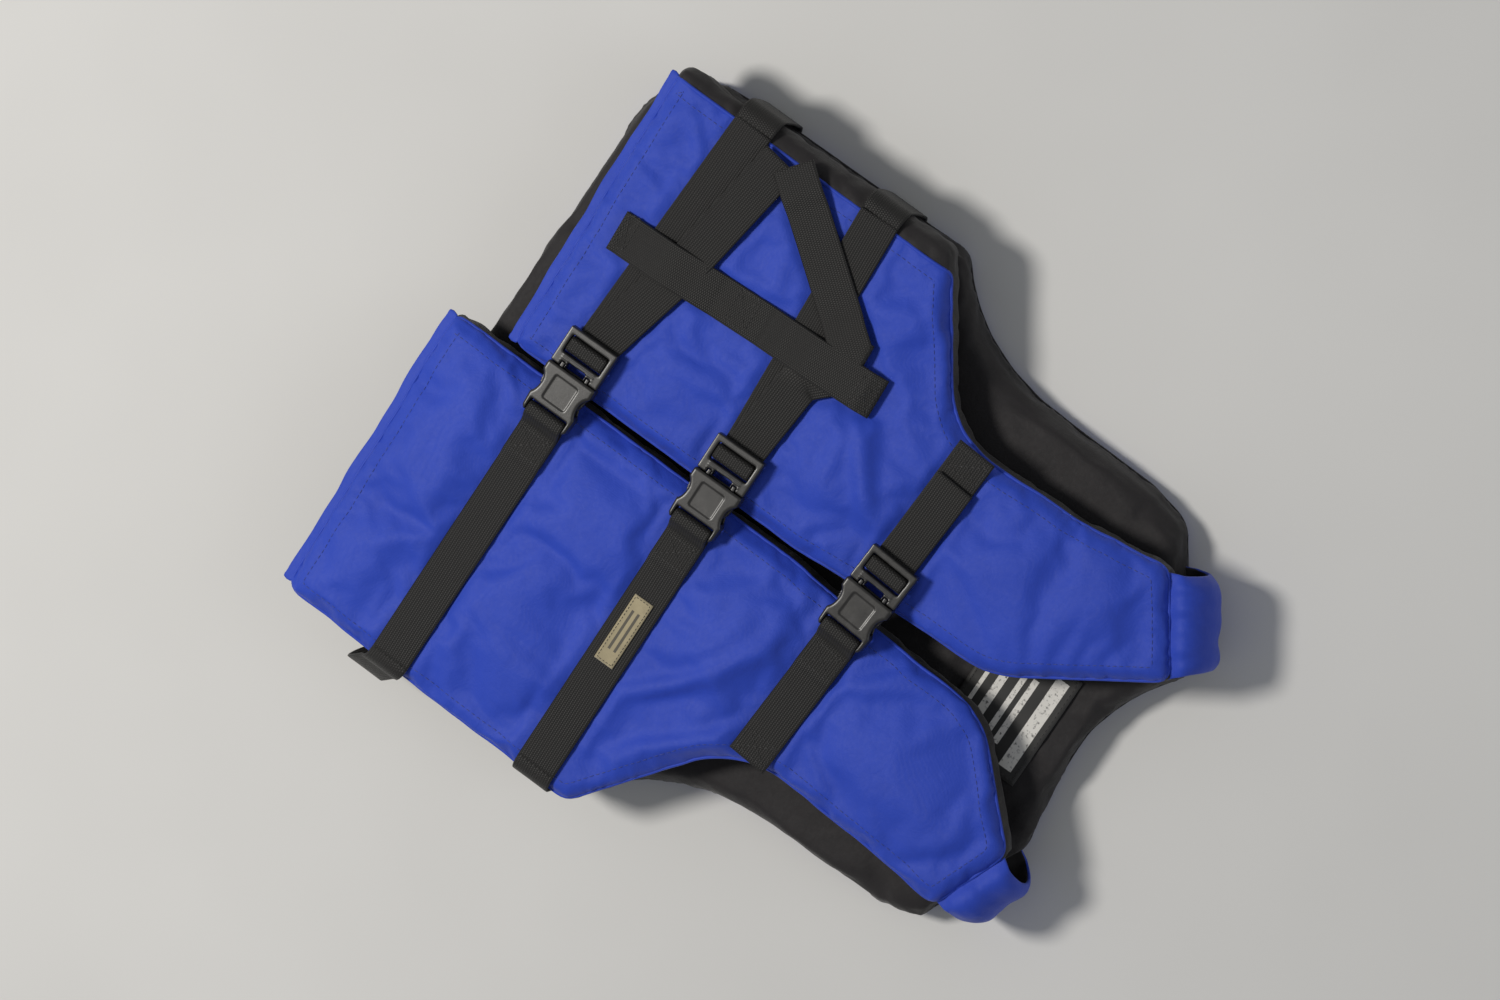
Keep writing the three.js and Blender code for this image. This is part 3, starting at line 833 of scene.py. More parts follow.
def press_under(obj, lines, clearance):
    """Presses a pad's face down to just below the belts that lie on it."""
    points = points_of(obj)
    for line in lines:
        path = np.array([tuple(p) for p in line])
        for a, b in zip(path[:-3:3], path[3::3]):
            d = b[:2] - a[:2]
            t = np.clip(((points[:, :2] - a[:2]) @ d) / max(d @ d, 1e-12), 0, 1)
            off = np.linalg.norm(points[:, :2] - (a[:2] + t[:, None] * d), axis=1)
            level = a[2] + t * (b[2] - a[2]) - WEB_THICKNESS / 2 - clearance
            slope = np.maximum(off - WEB_WIDTH / 2 - 0.5 * MM, 0)
            limit = level + slope * 0.55
            above = (points[:, 2] > limit) & (off < WEB_WIDTH / 2 + 14 * MM)
            above &= points[:, 2] > level - 12 * MM
            points[above, 2] = limit[above]
    set_points(obj, points)


def folds(points, creases):
    """Soft ridges and valleys: each crease is (start, end, half width, height) in the plan."""
    lift = np.zeros(len(points))
    for start, end, half, height in creases:
        a, b = np.array(start) * MM, np.array(end) * MM
        d = b - a
        t = ((points[:, :2] - a) @ d) / (d @ d)
        wander = 4 * MM * np.sin(t * 5 + start[0])
        off = ((points[:, 0] - a[0]) * -d[1] + (points[:, 1] - a[1]) * d[0]) / np.linalg.norm(d) + wander
        fade = smoothstep(t / 0.25) * smoothstep((1 - t) / 0.35)
        lift += height * MM * fade * np.exp(-(off / (half * MM)) ** 2)
    return lift


def cloth_of(obj, index, name, material):
    """One of a pad's two cloths, as its own object."""
    made = bpy.data.meshes.new(name)
    with opened(obj.data, made) as mesh:
        others = [f for f in mesh.faces if f.material_index != index]
        bmesh.ops.delete(mesh, geom=others, context="FACES")
        for face in mesh.faces:
            face.material_index = 0
    made.materials.append(material)
    return smooth(linked(name, made))


def seam_path(obj):
    """The edge of a cloth, as an evenly spaced closed path."""
    with opened(obj.data) as mesh:
        edges = [e.verts[:] for e in mesh.edges if len(e.link_faces) == 1]
        ring = [v.co.copy() for v in loops_of(edges)[0]]
    return even(ring, 3 * MM)


def even(ring, step):
    """A closed path with evenly spaced points, eased a little."""
    closed = ring + [ring[0]]
    lengths = [0.0]
    for a, b in zip(closed, closed[1:]):
        lengths.append(lengths[-1] + (b - a).length)
    count = max(8, round(lengths[-1] / step))
    made, i = [], 0
    for k in range(count):
        at = lengths[-1] * k / count
        while lengths[i + 1] < at:
            i += 1
        span = max(lengths[i + 1] - lengths[i], 1e-9)
        made.append(closed[i].lerp(closed[i + 1], (at - lengths[i]) / span))
    for _ in range(2):
        made = [(made[k - 1] + made[k] * 2 + made[(k + 1) % count]) / 4 for k in range(count)]
    return made


def pucker(obj, path, depth, reach, pitch):
    """Small gathers square to a seam, dying out away from it."""
    points, normals = points_of(obj), normals_of(obj)
    ring = np.array([tuple(p) for p in path])
    step = (path[1] - path[0]).length
    near = np.zeros(len(points), int)
    best = np.full(len(points), 1e9)
    for k, point in enumerate(ring):
        distance = np.linalg.norm(points - point, axis=1)
        closer = distance < best
        best[closer], near[closer] = distance[closer], k
    jitter = noise_at(ring, 22 * MM, 3)
    phase = 2 * np.pi * (near * step / pitch + 1.6 * jitter[near])
    fade = smoothstep(1 - best / reach) * smoothstep(best / (1.5 * MM))
    weight = 0.5 + 0.5 * noise_at(ring, 60 * MM, 8)[near]
    set_points(obj, points + normals * (depth * np.sin(phase) * fade * weight)[:, None])


def crinkle(obj, depth, size, seed, mask=None):
    """Loose creases in a cloth: sharp-crested noise along its normals."""
    points, normals = points_of(obj), normals_of(obj)
    coarse = noise_at(points, size, seed)
    bent = points + np.stack([coarse, -coarse, coarse], 1) * size * 0.3
    ridges = 1 - 2 * np.abs(noise_at(bent, size, seed + 1))
    lift = depth * (0.6 * ridges + 0.4 * coarse)
    set_points(obj, points + normals * (lift if mask is None else lift * mask)[:, None])


def fit_cloth(piece, body, slot_name, *nodes):
    """Says what a pad's cloth rides on and which CAD nodes it stands for; what it is (slot_name) is not used.
    """
    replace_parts(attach(piece, body), *nodes)


def welt(name, path, material, body):
    """The piping in a pad's edge seam."""
    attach(sweep(name, path, circle(WELT, 8), material), body)


# Each large crease: (start, end, half width, height), all in millimetres
FRONT_CREASES = {
    "right": [
        ((-30, 26), (-130, -20), 7, 4.4),
        ((-34, 4), (-88, -22), 6, 2.2),
        ((-126, 40), (-178, -16), 8, 3.8),
        ((-60, -112), (-90, -128), 5, 1.5),
        ((-46, 96), (-104, 128), 9, 1.4),
    ],
    "left": [
        ((28, 30), (142, -36), 8, 5.6),
        ((34, 6), (104, -26), 7, 2.8),
        ((92, 38), (178, -24), 8, 4.6),
        ((24, 74), (96, 112), 10, 1.5),
        ((66, 176), (112, 150), 7, 1.6),
        ((40, -208), (120, -190), 9, 1.0),
    ],
}


def front_pad(side):
    """A front: its shell above the edge seam, its lining below, piping and hem. Gives the seam."""
    shell, body = f"{side}_front_shell", f"{side}_front"
    seam = FRONT_TOP - SEAM_DROP
    loop = moved_in(outline(shell, (FRONT_TOP + FRONT_BASE) / 2), 1.2 * MM)
    pad = pillow(f"{side}_pad", loop, FRONT_BASE, FRONT_TOP - 1.2 * MM, PAD_EDGE)
    remeshed(pad, VOXEL)
    cut_at(pad, seam)
    # on the right front, a strip of the face along its outer side gets the black lining cloth: partly its
    # black side panel, partly painted shadow
    border = low(shell).x + SIDE_INSET if side == "right" else -1
    cut_at(pad, border, Vector((1, 0, 0)))
    for face in pad.data.polygons:
        face.material_index = 0 if face.center.z > seam and face.center.x > border else 1
    points = points_of(pad)
    lines = [line for owner, line in belt_lines if owner == body]
    topside = smoothstep((points[:, 2] - (FRONT_TOP - 6 * MM)) / (4 * MM))
    under = near_lines(points, lines, WEB_WIDTH / 2) * topside
    inside = distance_inside(points[:, :2], loop)
    crown = 2.2 * MM * smoothstep(inside / (55 * MM))
    lift = (crown + folds(points, FRONT_CREASES[side])) * topside * (1 - under)
    points[:, 2] += lift
    set_points(pad, points)
    rest = points_of(pad)
    held = np.maximum(under, (np.abs(rest[:, 2] - seam) < 0.3 * MM).astype(float))
    held = np.maximum(held, 0.8 * (np.abs(rest[:, 0] - border) < 0.5 * MM))
    held = np.maximum(held, (rest[:, 2] < FRONT_BASE + 3 * MM).astype(float))
    swell(pad, held, grow=0.035, pressure=2.2, cap=5 * MM)
    subdivided(pad)
    press_under(pad, lines, 0.25 * MM)
    upper = cloth_of(pad, 0, f"{side}_front_cloth", shell_cloth)
    lower = cloth_of(pad, 1, f"{side}_lining_cloth", lining_cloth)
    bpy.data.objects.remove(pad)
    path = seam_path(upper)
    pucker(upper, path, 0.55 * MM, 16 * MM, 8 * MM)
    pucker(lower, path, 0.5 * MM, 12 * MM, 8 * MM)
    crinkle(upper, 0.35 * MM, 20 * MM, 11 if side == "left" else 17)
    crinkle(lower, 0.4 * MM, 24 * MM, 23)
    press_under(upper, lines, 0.2 * MM)
    fit_cloth(upper, body, "shell", shell, f"{side}_front_foam_outer", f"{side}_front_foam_inner")
    fit_cloth(lower, body, "lining", f"{side}_front_lining")
    welt(f"{side}_front_welt", path, shell_cloth, body)
    hem = hem_flange(side, path)
    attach(hem, body)
    return path


def hem_flange(side, path):
    """The raw edge below a front's hem: a stitched fin of doubled cloth, with a small ear at each end."""
    lowest = min(p.y for p in path)
    count = len(path)
    tangents = [(path[(k + 1) % count] - path[k - 1]).normalized() for k in range(count)]
    run = [k for k in range(count) if abs(tangents[k].x) > 0.9 and path[k].y < lowest + 20 * MM]
    run.sort(key=lambda k: path[k].x)
    points = [path[k] for k in run]
    first, last = points[0], points[-1]
    reach = 6 * MM
    ears = 4.5 * MM
    line = [first - Vector((ears, 1 * MM, 0)), *points, last + Vector((ears, -1 * MM, 0))]
    vertices, faces = [], []
    for k, point in enumerate(line):
        wave = 0.7 * MM * math.sin(k * 0.55) + 0.9 * MM * noise.noise(point * 40)
        depth = reach + 1.2 * MM * noise.noise(point * 25 + Vector((5, 0, 0)))
        droop = Vector((0, -depth, -2.2 * MM + wave))
        inner = point + Vector((0, 1.5 * MM, 0))
        for share, half in ((0, 1.3), (0.35, 0.75), (0.8, 0.8), (1.0, 0.95)):
            middle = inner + (droop + Vector((0, -1.5 * MM, 0))) * share
            vertices += [middle + Vector((0, 0, half * MM)), middle - Vector((0, 0, half * MM))]
    width = 8
    order = [0, 2, 4, 6, 7, 5, 3, 1]
    for k in range(len(line) - 1):
        for i, a in enumerate(order):
            b = order[(i + 1) % width]
            faces.append((k * width + a, k * width + b, (k + 1) * width + b, (k + 1) * width + a))
    faces.append(tuple(order))
    faces.append(tuple((len(line) - 1) * width + a for a in order[::-1]))
    made = mesh_object(f"{side}_hem_flange", vertices, faces, shell_cloth)
    flip_outwards(made)
    return subdivided(made)


def flat_label(node):
    """The middle line of a CAD label, along X, and half the label's height in the plan."""
    lowest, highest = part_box(node)
    middle = (lowest + highest) / 2
    span = highest.x - lowest.x
    return [Vector((lowest.x + span * k / 12, middle.y, lowest.z)) for k in range(13)], \
        (highest.y - lowest.y) / 2


def back_pad():
    """The back: its lining above the edge seam, its shell below, and piping. Gives the seam."""
    seam = BACK_BASE + 5 * MM
    loop = moved_in(outline("back_lining", (BACK_TOP + BACK_BASE) / 2), 1.0 * MM)
    pad = pillow("back_pad", loop, BACK_BASE, BACK_TOP - 0.8 * MM, PAD_EDGE)
    remeshed(pad, VOXEL)
    cut_at(pad, seam)
    for face in pad.data.polygons:
        face.material_index = 0 if face.center.z > seam else 1
    rest = points_of(pad)
    held = (np.abs(rest[:, 2] - seam) < 0.3 * MM).astype(float)
    held = np.maximum(held, (rest[:, 2] < BACK_BASE + 2 * MM).astype(float))
    label, reach = flat_label("neck_label")
    held = np.maximum(held, near_lines(rest, [label], reach) * (rest[:, 2] > BACK_TOP - 8 * MM))
    swell(pad, held, grow=0.03, pressure=1.6, cap=2.6 * MM)
    subdivided(pad)
    upper = cloth_of(pad, 0, "back_lining_cloth", lining_cloth)
    lower = cloth_of(pad, 1, "back_shell_cloth", shell_cloth)
    bpy.data.objects.remove(pad)
    path = seam_path(upper)
    pucker(upper, path, 0.5 * MM, 14 * MM, 8 * MM)
    crinkle(upper, 0.5 * MM, 22 * MM, 31)
    crinkle(lower, 0.25 * MM, 24 * MM, 37)
    loose = 1 - near_lines(points_of(lower), under_lines(), WEB_WIDTH / 2 + 2 * MM)
    crinkle(lower, 1.1 * MM, 46 * MM, 41, loose)
    fit_cloth(upper, "back", "lining", "back_lining", "back_foam_inner", "back_foam_outer")
    fit_cloth(lower, "back", "shell", "back_shell")
    welt("back_welt", path, lining_cloth, "back")
    return path


def under_lines():
    """The lines of the two belts that pass under the back."""
    ends = [sorted(flat_path(f"{name}_belt_back")) for name in BELTS[1:]]
    return [finely([Vector((*line[0], 0)), Vector((*line[-1], 0))]) for line in ends]

# ---- Shoulders ----------------------------------------------------------------------------


def shoulder_line(side):
    """The ends of the edge where a front meets its shoulder, outer then inner, in the plan."""
    loop = outline(f"{side}_front_shell", (FRONT_TOP + FRONT_BASE) / 2)
    centre = (low(f"{side}_shoulder") + high(f"{side}_shoulder")) / 2
    edges = [(Vector(a), Vector(b)) for a, b in zip(loop, loop[1:] + loop[:1])]
    edges = [(a, b) for a, b in edges if (b - a).length > 30 * MM]
    a, b = min(edges, key=lambda e: ((e[0] + e[1]) / 2 - Vector(centre[:2])).length)
    return (a, b) if abs(a.x) > abs(b.x) else (b, a)


def shoulder(side):
    """The folded cloth that joins the back to a front: blue outside, black inside, gathered."""
    outer, inner = shoulder_line(side)
    along = (inner - outer).normalized()
    out = Vector((-along.y, along.x))
    out = out if out.y > 0 else -out
    length = (inner - outer).length
    middle = (BACK_BASE + FRONT_TOP) / 2
    tall = (FRONT_TOP - BACK_BASE) / 2
    profile = [(-4, tall - 9 * MM), (0, tall - 7.6 * MM), (3.5, tall - 5.4 * MM), (7.5, tall - 5 * MM)]
    profile += [(12, tall - 7.5 * MM), (17, tall - 13 * MM), (21, tall - 21 * MM), (22.5, 0.0)]
    profile = [(d * MM, h) for d, h in profile]
    profile += [(d, -h) for d, h in profile[-2::-1]]
    path = finely([(d, h, 0) for d, h in profile], 2.0 * MM)
    columns = max(24, round(length / (1.6 * MM)))
    rows = len(path)
    seed = 2 if side == "right" else 9
    vertices = []
    for i, point in enumerate(path):
        v = i / (rows - 1)
        before, after = path[max(i - 1, 0)], path[min(i + 1, rows - 1)]
        tangent = (after - before).normalized()
        normal = Vector((-tangent.y, tangent.x))
        free = math.sin(math.pi * v) ** 0.6
        gather = smoothstep(1 - abs(abs(v - 0.5) - 0.3) / 0.22)
        for k in range(columns + 1):
            u = k / columns
            s = (u - 0.5) * (length - 5 * MM - 7 * MM * free) + length / 2
            wave = noise.noise(Vector((s / (13 * MM), v * 1.4, seed)))
            fine = noise.noise(Vector((s / (6 * MM) + 0.6 * math.sin(v * 9), v * 1.1, seed + 4)))
            swell_out = (2.4 * wave * free + 1.3 * fine * float(gather)) * MM
            edge_curl = 5.5 * MM * free * (abs(2 * u - 1) ** 5)
            d = point.x + normal.x * (swell_out - edge_curl)
            h = point.y + normal.y * (swell_out - edge_curl)
            plan = outer + along * s + out * d
            vertices.append(Vector((plan.x, plan.y, middle + h)))
    faces = grid_faces(rows - 1, columns)
    piece = mesh_object(f"{side}_shoulder_cloth", vertices, faces, shell_cloth, lining_cloth)
    face = piece.data.polygons[(rows // 2) * columns + columns // 2]
    if face.normal.dot(Vector((out.x, out.y, 0))) < 0:
        piece.data.flip_normals()
    thick = piece.modifiers.new("thickness", "SOLIDIFY")
    thick.thickness = 2.2 * MM
    thick.offset = -1
    thick.material_offset = 1
    thick.material_offset_rim = 0
    bake_modifiers(piece)
    subdivided(piece)
    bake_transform(piece)
    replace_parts(piece, f"{side}_shoulder")

# ---- Wraps, keeper and back belts ---------------------------------------------------------


def wrap(name, side, front_end, back_end, slack, sag=0.0):
    """A belt's bend round the side, from the end of its front half to its part under the back."""
    sign = 1 if side == "left" else -1
    clear = WEB_THICKNESS / 2 + 0.5 * MM
    radius = PAD_EDGE + clear
    front_x, back_x = abs(front_end.x) + 0.5 * MM, abs(back_end.x) + 0.5 * MM
    centre_front = BELT_HEIGHT - radius
    centre_back = WEB_THICKNESS / 2 + radius
    profile = [(abs(front_end.x), centre_front + radius)]
    for k in range(9):
        angle = math.pi / 2 * (1 - k / 8)
        profile.append((front_x + radius * math.cos(angle), centre_front + radius * math.sin(angle)))
    for k in range(1, 8):
        share = k / 8
        x = front_x + (back_x - front_x) * share + radius + (0.5 * MM + slack) * math.sin(math.pi * share)
        profile.append((x, centre_front + (centre_back - centre_front) * share))
    for k in range(9):
        angle = -math.pi / 2 * k / 8
        profile.append((back_x + radius * math.cos(angle), centre_back + radius * math.sin(angle)))
    profile.append((abs(back_end.x), centre_back - radius))
    lengths = np.cumsum([0] + [math.dist(a, b) for a, b in zip(profile, profile[1:])])
    path = []
    for x, z in profile:
        share = lengths[len(path)] / lengths[-1]
        y = front_end.y + (back_end.y - front_end.y) * share - sag * math.sin(math.pi * share) ** 2
        path.append(Vector((sign * x, y, z)))
    path = finely(path, 2 * MM)
    piece = ribbon(f"{name}_wrap_webbing_{side}", path, Vector((0, 1, 0)), crown=0)
    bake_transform(piece)
    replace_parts(piece, f"{name}_belt_wrap_{side}")


def lay_sides():
    """The parts of the two lower belts that run round the sides and under the back."""
    for name in BELTS[1:]:
        under = sorted(flat_path(f"{name}_belt_back"))
        under_right, under_left = (Vector((*p, WEB_THICKNESS / 2)) for p in (under[0], under[-1]))
        path = finely([under_right, under_left], 4 * MM)
        piece = ribbon(f"{name}_back_webbing", path, widths_along(path), crown=0)
        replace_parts(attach(piece, "back"), f"{name}_belt_back")
        right_end = Vector((*flat_path(f"{name}_belt_right")[-1], BELT_HEIGHT))
        left_end = Vector((*flat_end(f"{name}_belt_left"), BELT_HEIGHT))
        wrap(name, "right", right_end, under_right, 0)
        slack = (13 * MM, 16 * MM) if name == "lower" else (1.5 * MM, 0)
        wrap(name, "left", left_end, under_left, *slack)


def keeper():
    """Webbing sewn down the right front, over the belts and their tails."""
    corners = [v.co for v in frame["nodes"]["belt_keeper"].data.vertices]
    ends = []
    for pick in (max, min):
        tip = pick(corners, key=lambda v: v.y).y
        near = [v for v in corners if abs(v.y - tip) < 2 * MM]
        ends.append(Vector((sum(v.x for v in near) / len(near), sum(v.y for v in near) / len(near), 0)))
    path = finely([Vector((p.x, p.y, BELT_HEIGHT)) for p in ends], 2 * MM)
    places = np.array([tuple(p) for p in path])
    lift = np.zeros(len(path))
    for owner, line in belt_lines:
        if owner == "right_front":
            lift += (near_lines(places, [line], WEB_WIDTH / 2 + 2 * MM) > 0.3) * LAYER
    kernel = np.ones(7) / 7
    lift = np.convolve(np.pad(lift, 3, "edge"), kernel, "valid")
    path = [p + Vector((0, 0, l + 0.4 * MM * (l > 0.2 * MM))) for p, l in zip(path, lift)]
    direction = (ends[1] - ends[0]).normalized()
    piece = ribbon("keeper_webbing", path, Vector((-direction.y, direction.x, 0)))
    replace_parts(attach(piece, "right_front"), "belt_keeper")
    belt_lines.append(("right_front", path))

# ---- Buckles ------------------------------------------------------------------------------


def moulded(node, size=0.5 * MM, rounds=5):
    """A CAD piece with its edges rounded, as it would leave its mould."""
    source = frame["nodes"][node]
    piece = linked(node + "_moulding", source.data.copy())
    piece.data.materials.clear()
    with opened(piece.data, piece.data) as mesh:
        bmesh.ops.remove_doubles(mesh, verts=mesh.verts[:], dist=1e-6)
    remeshed(piece, size)
    ease = piece.modifiers.new("ease", "SMOOTH")
    ease.factor = 0.5
    ease.iterations = rounds
    bake_modifiers(piece)
    piece.data.materials.clear()
    piece.data.materials.append(acetal)
    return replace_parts(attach(piece, source["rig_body"]), node)


def panel_relief(at, normals):
    """A shallow panel with rounded corners sunk in the socket's two broad faces."""
    broad = np.abs(normals[:, 2]) > 0.7
    reach_x = np.abs(at[:, 0] - 13 * MM) - 6.5 * MM
    reach_y = np.abs(at[:, 1]) - 6.5 * MM
    outside = np.hypot(np.maximum(reach_x, 0), np.maximum(reach_y, 0)) - 2 * MM
    sunk = 0.45 * MM * smoothstep(-outside / (0.9 * MM)) * broad
    near_mouth = (at[:, 0] > -1 * MM) & (at[:, 0] < 24 * MM)
    return -normals * (sunk * near_mouth)[:, None]


def grip_relief(at, normals):
    """Ribs across a latch arm's outer face, where the fingers squeeze."""
    outer = smoothstep((np.abs(normals[:, 1]) - 0.4) / 0.3) * (np.abs(at[:, 1]) > 11 * MM)
    along = smoothstep((at[:, 0] - 7.5 * MM) / MM) * smoothstep((17 * MM - at[:, 0]) / MM)
    ribs = 0.32 * MM * np.maximum(0, np.sin(2 * np.pi * at[:, 0] / (1.7 * MM)))
    return normals * (outer * along * ribs)[:, None]


def bar_relief(at, normals):
    """Fine teeth along the plug's solid front and a chamfered rim behind it."""
    top = (normals[:, 2] > 0.8) & (at[:, 0] > -PLUG_FRONT) & (at[:, 0] < -0.8 * MM)
    middle = smoothstep((12 * MM - np.abs(at[:, 1])) / MM)
    ribs = 0.25 * MM * np.maximum(0, np.sin(2 * np.pi * at[:, 0] / (1.9 * MM)))
    return normals * (top * middle * ribs)[:, None]


def relieve(piece, matrix, relief):
    """Moves a moulding's surface by a relief drawn in its buckle's own frame."""
    turn = np.array(matrix.to_3x3())
    origin = np.array(matrix.translation)
    points, normals = points_of(piece), normals_of(piece)
    step = relief((points - origin) @ turn, normals @ turn)
    set_points(piece, points + step @ turn.T)


def buckles():
    """The three buckles, with the webbing on each plug's bar."""
    for name in BELTS:
        matrix = buckle_frame(name)
        relieve(moulded(f"{name}_buckle_socket"), matrix, panel_relief)
        relieve(moulded(f"{name}_buckle_plug"), matrix, bar_relief)
        for where in ("upper", "lower"):
            relieve(moulded(f"{name}_latch_arm_{where}", 0.35 * MM, 4), matrix, grip_relief)
        loop = loop_path(matrix)
        piece = ribbon(f"{name}_loop_webbing", loop, Vector(matrix.col[1][:3]), crown=0)
        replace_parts(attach(piece, f"{name}_plug"), f"{name}_strap_loop")


def loop_path(matrix):
    """Over the plug's bar, from slot to slot."""
    near = -PLUG_FRONT - SLOT + 1.9 * MM
    far = -PLUG_FRONT - SLOT - BAR - 1.9 * MM
    top = PLUG_RIM - DISH + AIR + WEB_THICKNESS / 2
    start = 1.7 * MM
    profile = [(near, start), (near, top - 1 * MM), (near - 1 * MM, top), (far + 1 * MM, top),
               (far, top - 1 * MM), (far, start)]
    path = finely([Vector((x, 0, z)) for x, z in profile], 1 * MM)
    return [matrix @ p for p in path]

# ---- Labels and stitching -----------------------------------------------------------------


def patch(name, node, material, body, thickness=0.45 * MM, turn=0.0, wave=0.3 * MM):
    """A sewn label: a thin cloth rectangle with folded edges that follows the CAD label."""
    lowest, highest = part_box(node)
    centre = (lowest + highest) / 2
    corners = [v.co for v in frame["nodes"][node].data.vertices]
    rotation = Matrix.Rotation(turn, 2)
    local = [rotation.inverted() @ Vector((v.x - centre.x, v.y - centre.y)) for v in corners]
    half_x, half_y = max(abs(p.x) for p in local), max(abs(p.y) for p in local)
    nx, ny = max(8, round(half_x / MM)), max(6, round(half_y / MM))
    vertices, uvs = [], []
    for j in range(ny + 1):
        for i in range(nx + 1):
            u, v = i / nx, j / ny
            p = rotation @ Vector(((2 * u - 1) * half_x, (2 * v - 1) * half_y))
            place = Vector((p.x + centre.x, p.y + centre.y, 0))
            lift = wave * noise.noise(place * 70)
            fold = 0.25 * MM * (min(u, 1 - u) * half_x < 1.2 * MM or min(v, 1 - v) * half_y < 0.6 * MM)
            vertices.append(place + Vector((0, 0, highest.z + lift + fold)))
            uvs.append((u, v))
    piece = mesh_object(name, vertices, grid_faces(ny, nx), material, uvs=uvs)
    thick = piece.modifiers.new("thickness", "SOLIDIFY")
    thick.thickness = thickness
    thick.offset = -1
    bake_modifiers(piece)
    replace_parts(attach(piece, body), node)


# A stitch's rings of thread: (share of its length, size, rise), the last two in thread radii
STITCH_RINGS = ((0, 0.35, -0.4), (0.2, 0.95, 0.35), (0.5, 1, 0.55), (0.8, 0.95, 0.35), (1, 0.35, -0.4))


def stitch_run(points, ups, length=2.4 * MM, space=1.0 * MM, radius=0.3 * MM):
    """The vertices and faces of a row of stitches along a path."""
    vertices, faces = [], []
    one_stitch = tube_faces(len(STITCH_RINGS), 6) + end_faces(len(STITCH_RINGS), 6)
    along = np.cumsum([0] + [(b - a).length for a, b in zip(points, points[1:])])
    total, at = along[-1], space / 2

    def place(distance):
        i = min(int(np.searchsorted(along, distance, "right")) - 1, len(points) - 2)
        share = (distance - along[i]) / max(along[i + 1] - along[i], 1e-9)
        return points[i].lerp(points[i + 1], share), ups[i]

    while at + length <= total:
        start, up = place(at)
        end, _ = place(at + length)
        direction = (end - start).normalized()
        side = direction.cross(up).normalized()
        first = len(vertices)
        for share, size, rise in STITCH_RINGS:
            centre = start.lerp(end, share) + up * radius * rise
            for k in range(6):
                angle = math.pi * k / 3
                vertices.append(centre + (side * math.cos(angle) + up * math.sin(angle)) * radius * size)
        faces += [tuple(first + v for v in face) for face in one_stitch]
        at += length + space
    return vertices, faces


def stitching(name, runs, body, material, slot_name, **settings):
    """One piece of thread work: each run is (points, up or ups)."""
    vertices, faces = [], []
    for points, up in runs:
        ups = up if isinstance(up, list) else [up] * len(points)
        more, sides = stitch_run(points, ups, **settings)
        faces += [tuple(i + len(vertices) for i in side) for side in sides]
        vertices += more
    piece = mesh_object(name, vertices, faces, material)
    flip_outwards(piece)
    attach(piece, body)


def surface(*pieces):
    """Finds the top of some pieces at a point of the plan: returns (point, up)."""
    trees = []
    for piece in pieces:
        trees.append(BVHTree.FromObject(piece, bpy.context.evaluated_depsgraph_get()))

    def at(x, y):
        best = None
        for tree in trees:
            hit, normal, _, _ = tree.ray_cast(Vector((x, y, 0.3)), Vector((0, 0, -1)))
            if hit and (best is None or hit.z > best[0].z):
                best = (hit, normal if normal.z > 0 else -normal)
        return best

    return at


def laid(at, corners, step=2 * MM):
    """A run of stitches through 2D points, laid on a surface."""
    points, ups = [], []
    for a, b in zip(corners, corners[1:]):
        a, b = Vector(a), Vector(b)
        count = max(1, math.ceil((b - a).length / step))
        for i in range(count + (b == Vector(corners[-1]))):
            p = a.lerp(b, i / count)
            found = at(p.x, p.y)
            if found:
                points.append(found[0] + found[1] * THREAD_LIFT)
                ups.append(found[1])
    return points, ups


def box_of(centre, along, half_long, half_wide, cross=True):
    """The corners of a box of stitching, with a cross in it."""
    across = Vector((-along.y, along.x))
    corner = [centre + along * (sx * half_long) + across * (sy * half_wide)
              for sx, sy in ((-1, -1), (1, -1), (1, 1), (-1, 1), (-1, -1))]
    runs = [corner]
    if cross:
        runs += [[corner[0], corner[2]], [corner[1], corner[3]]]
    return runs


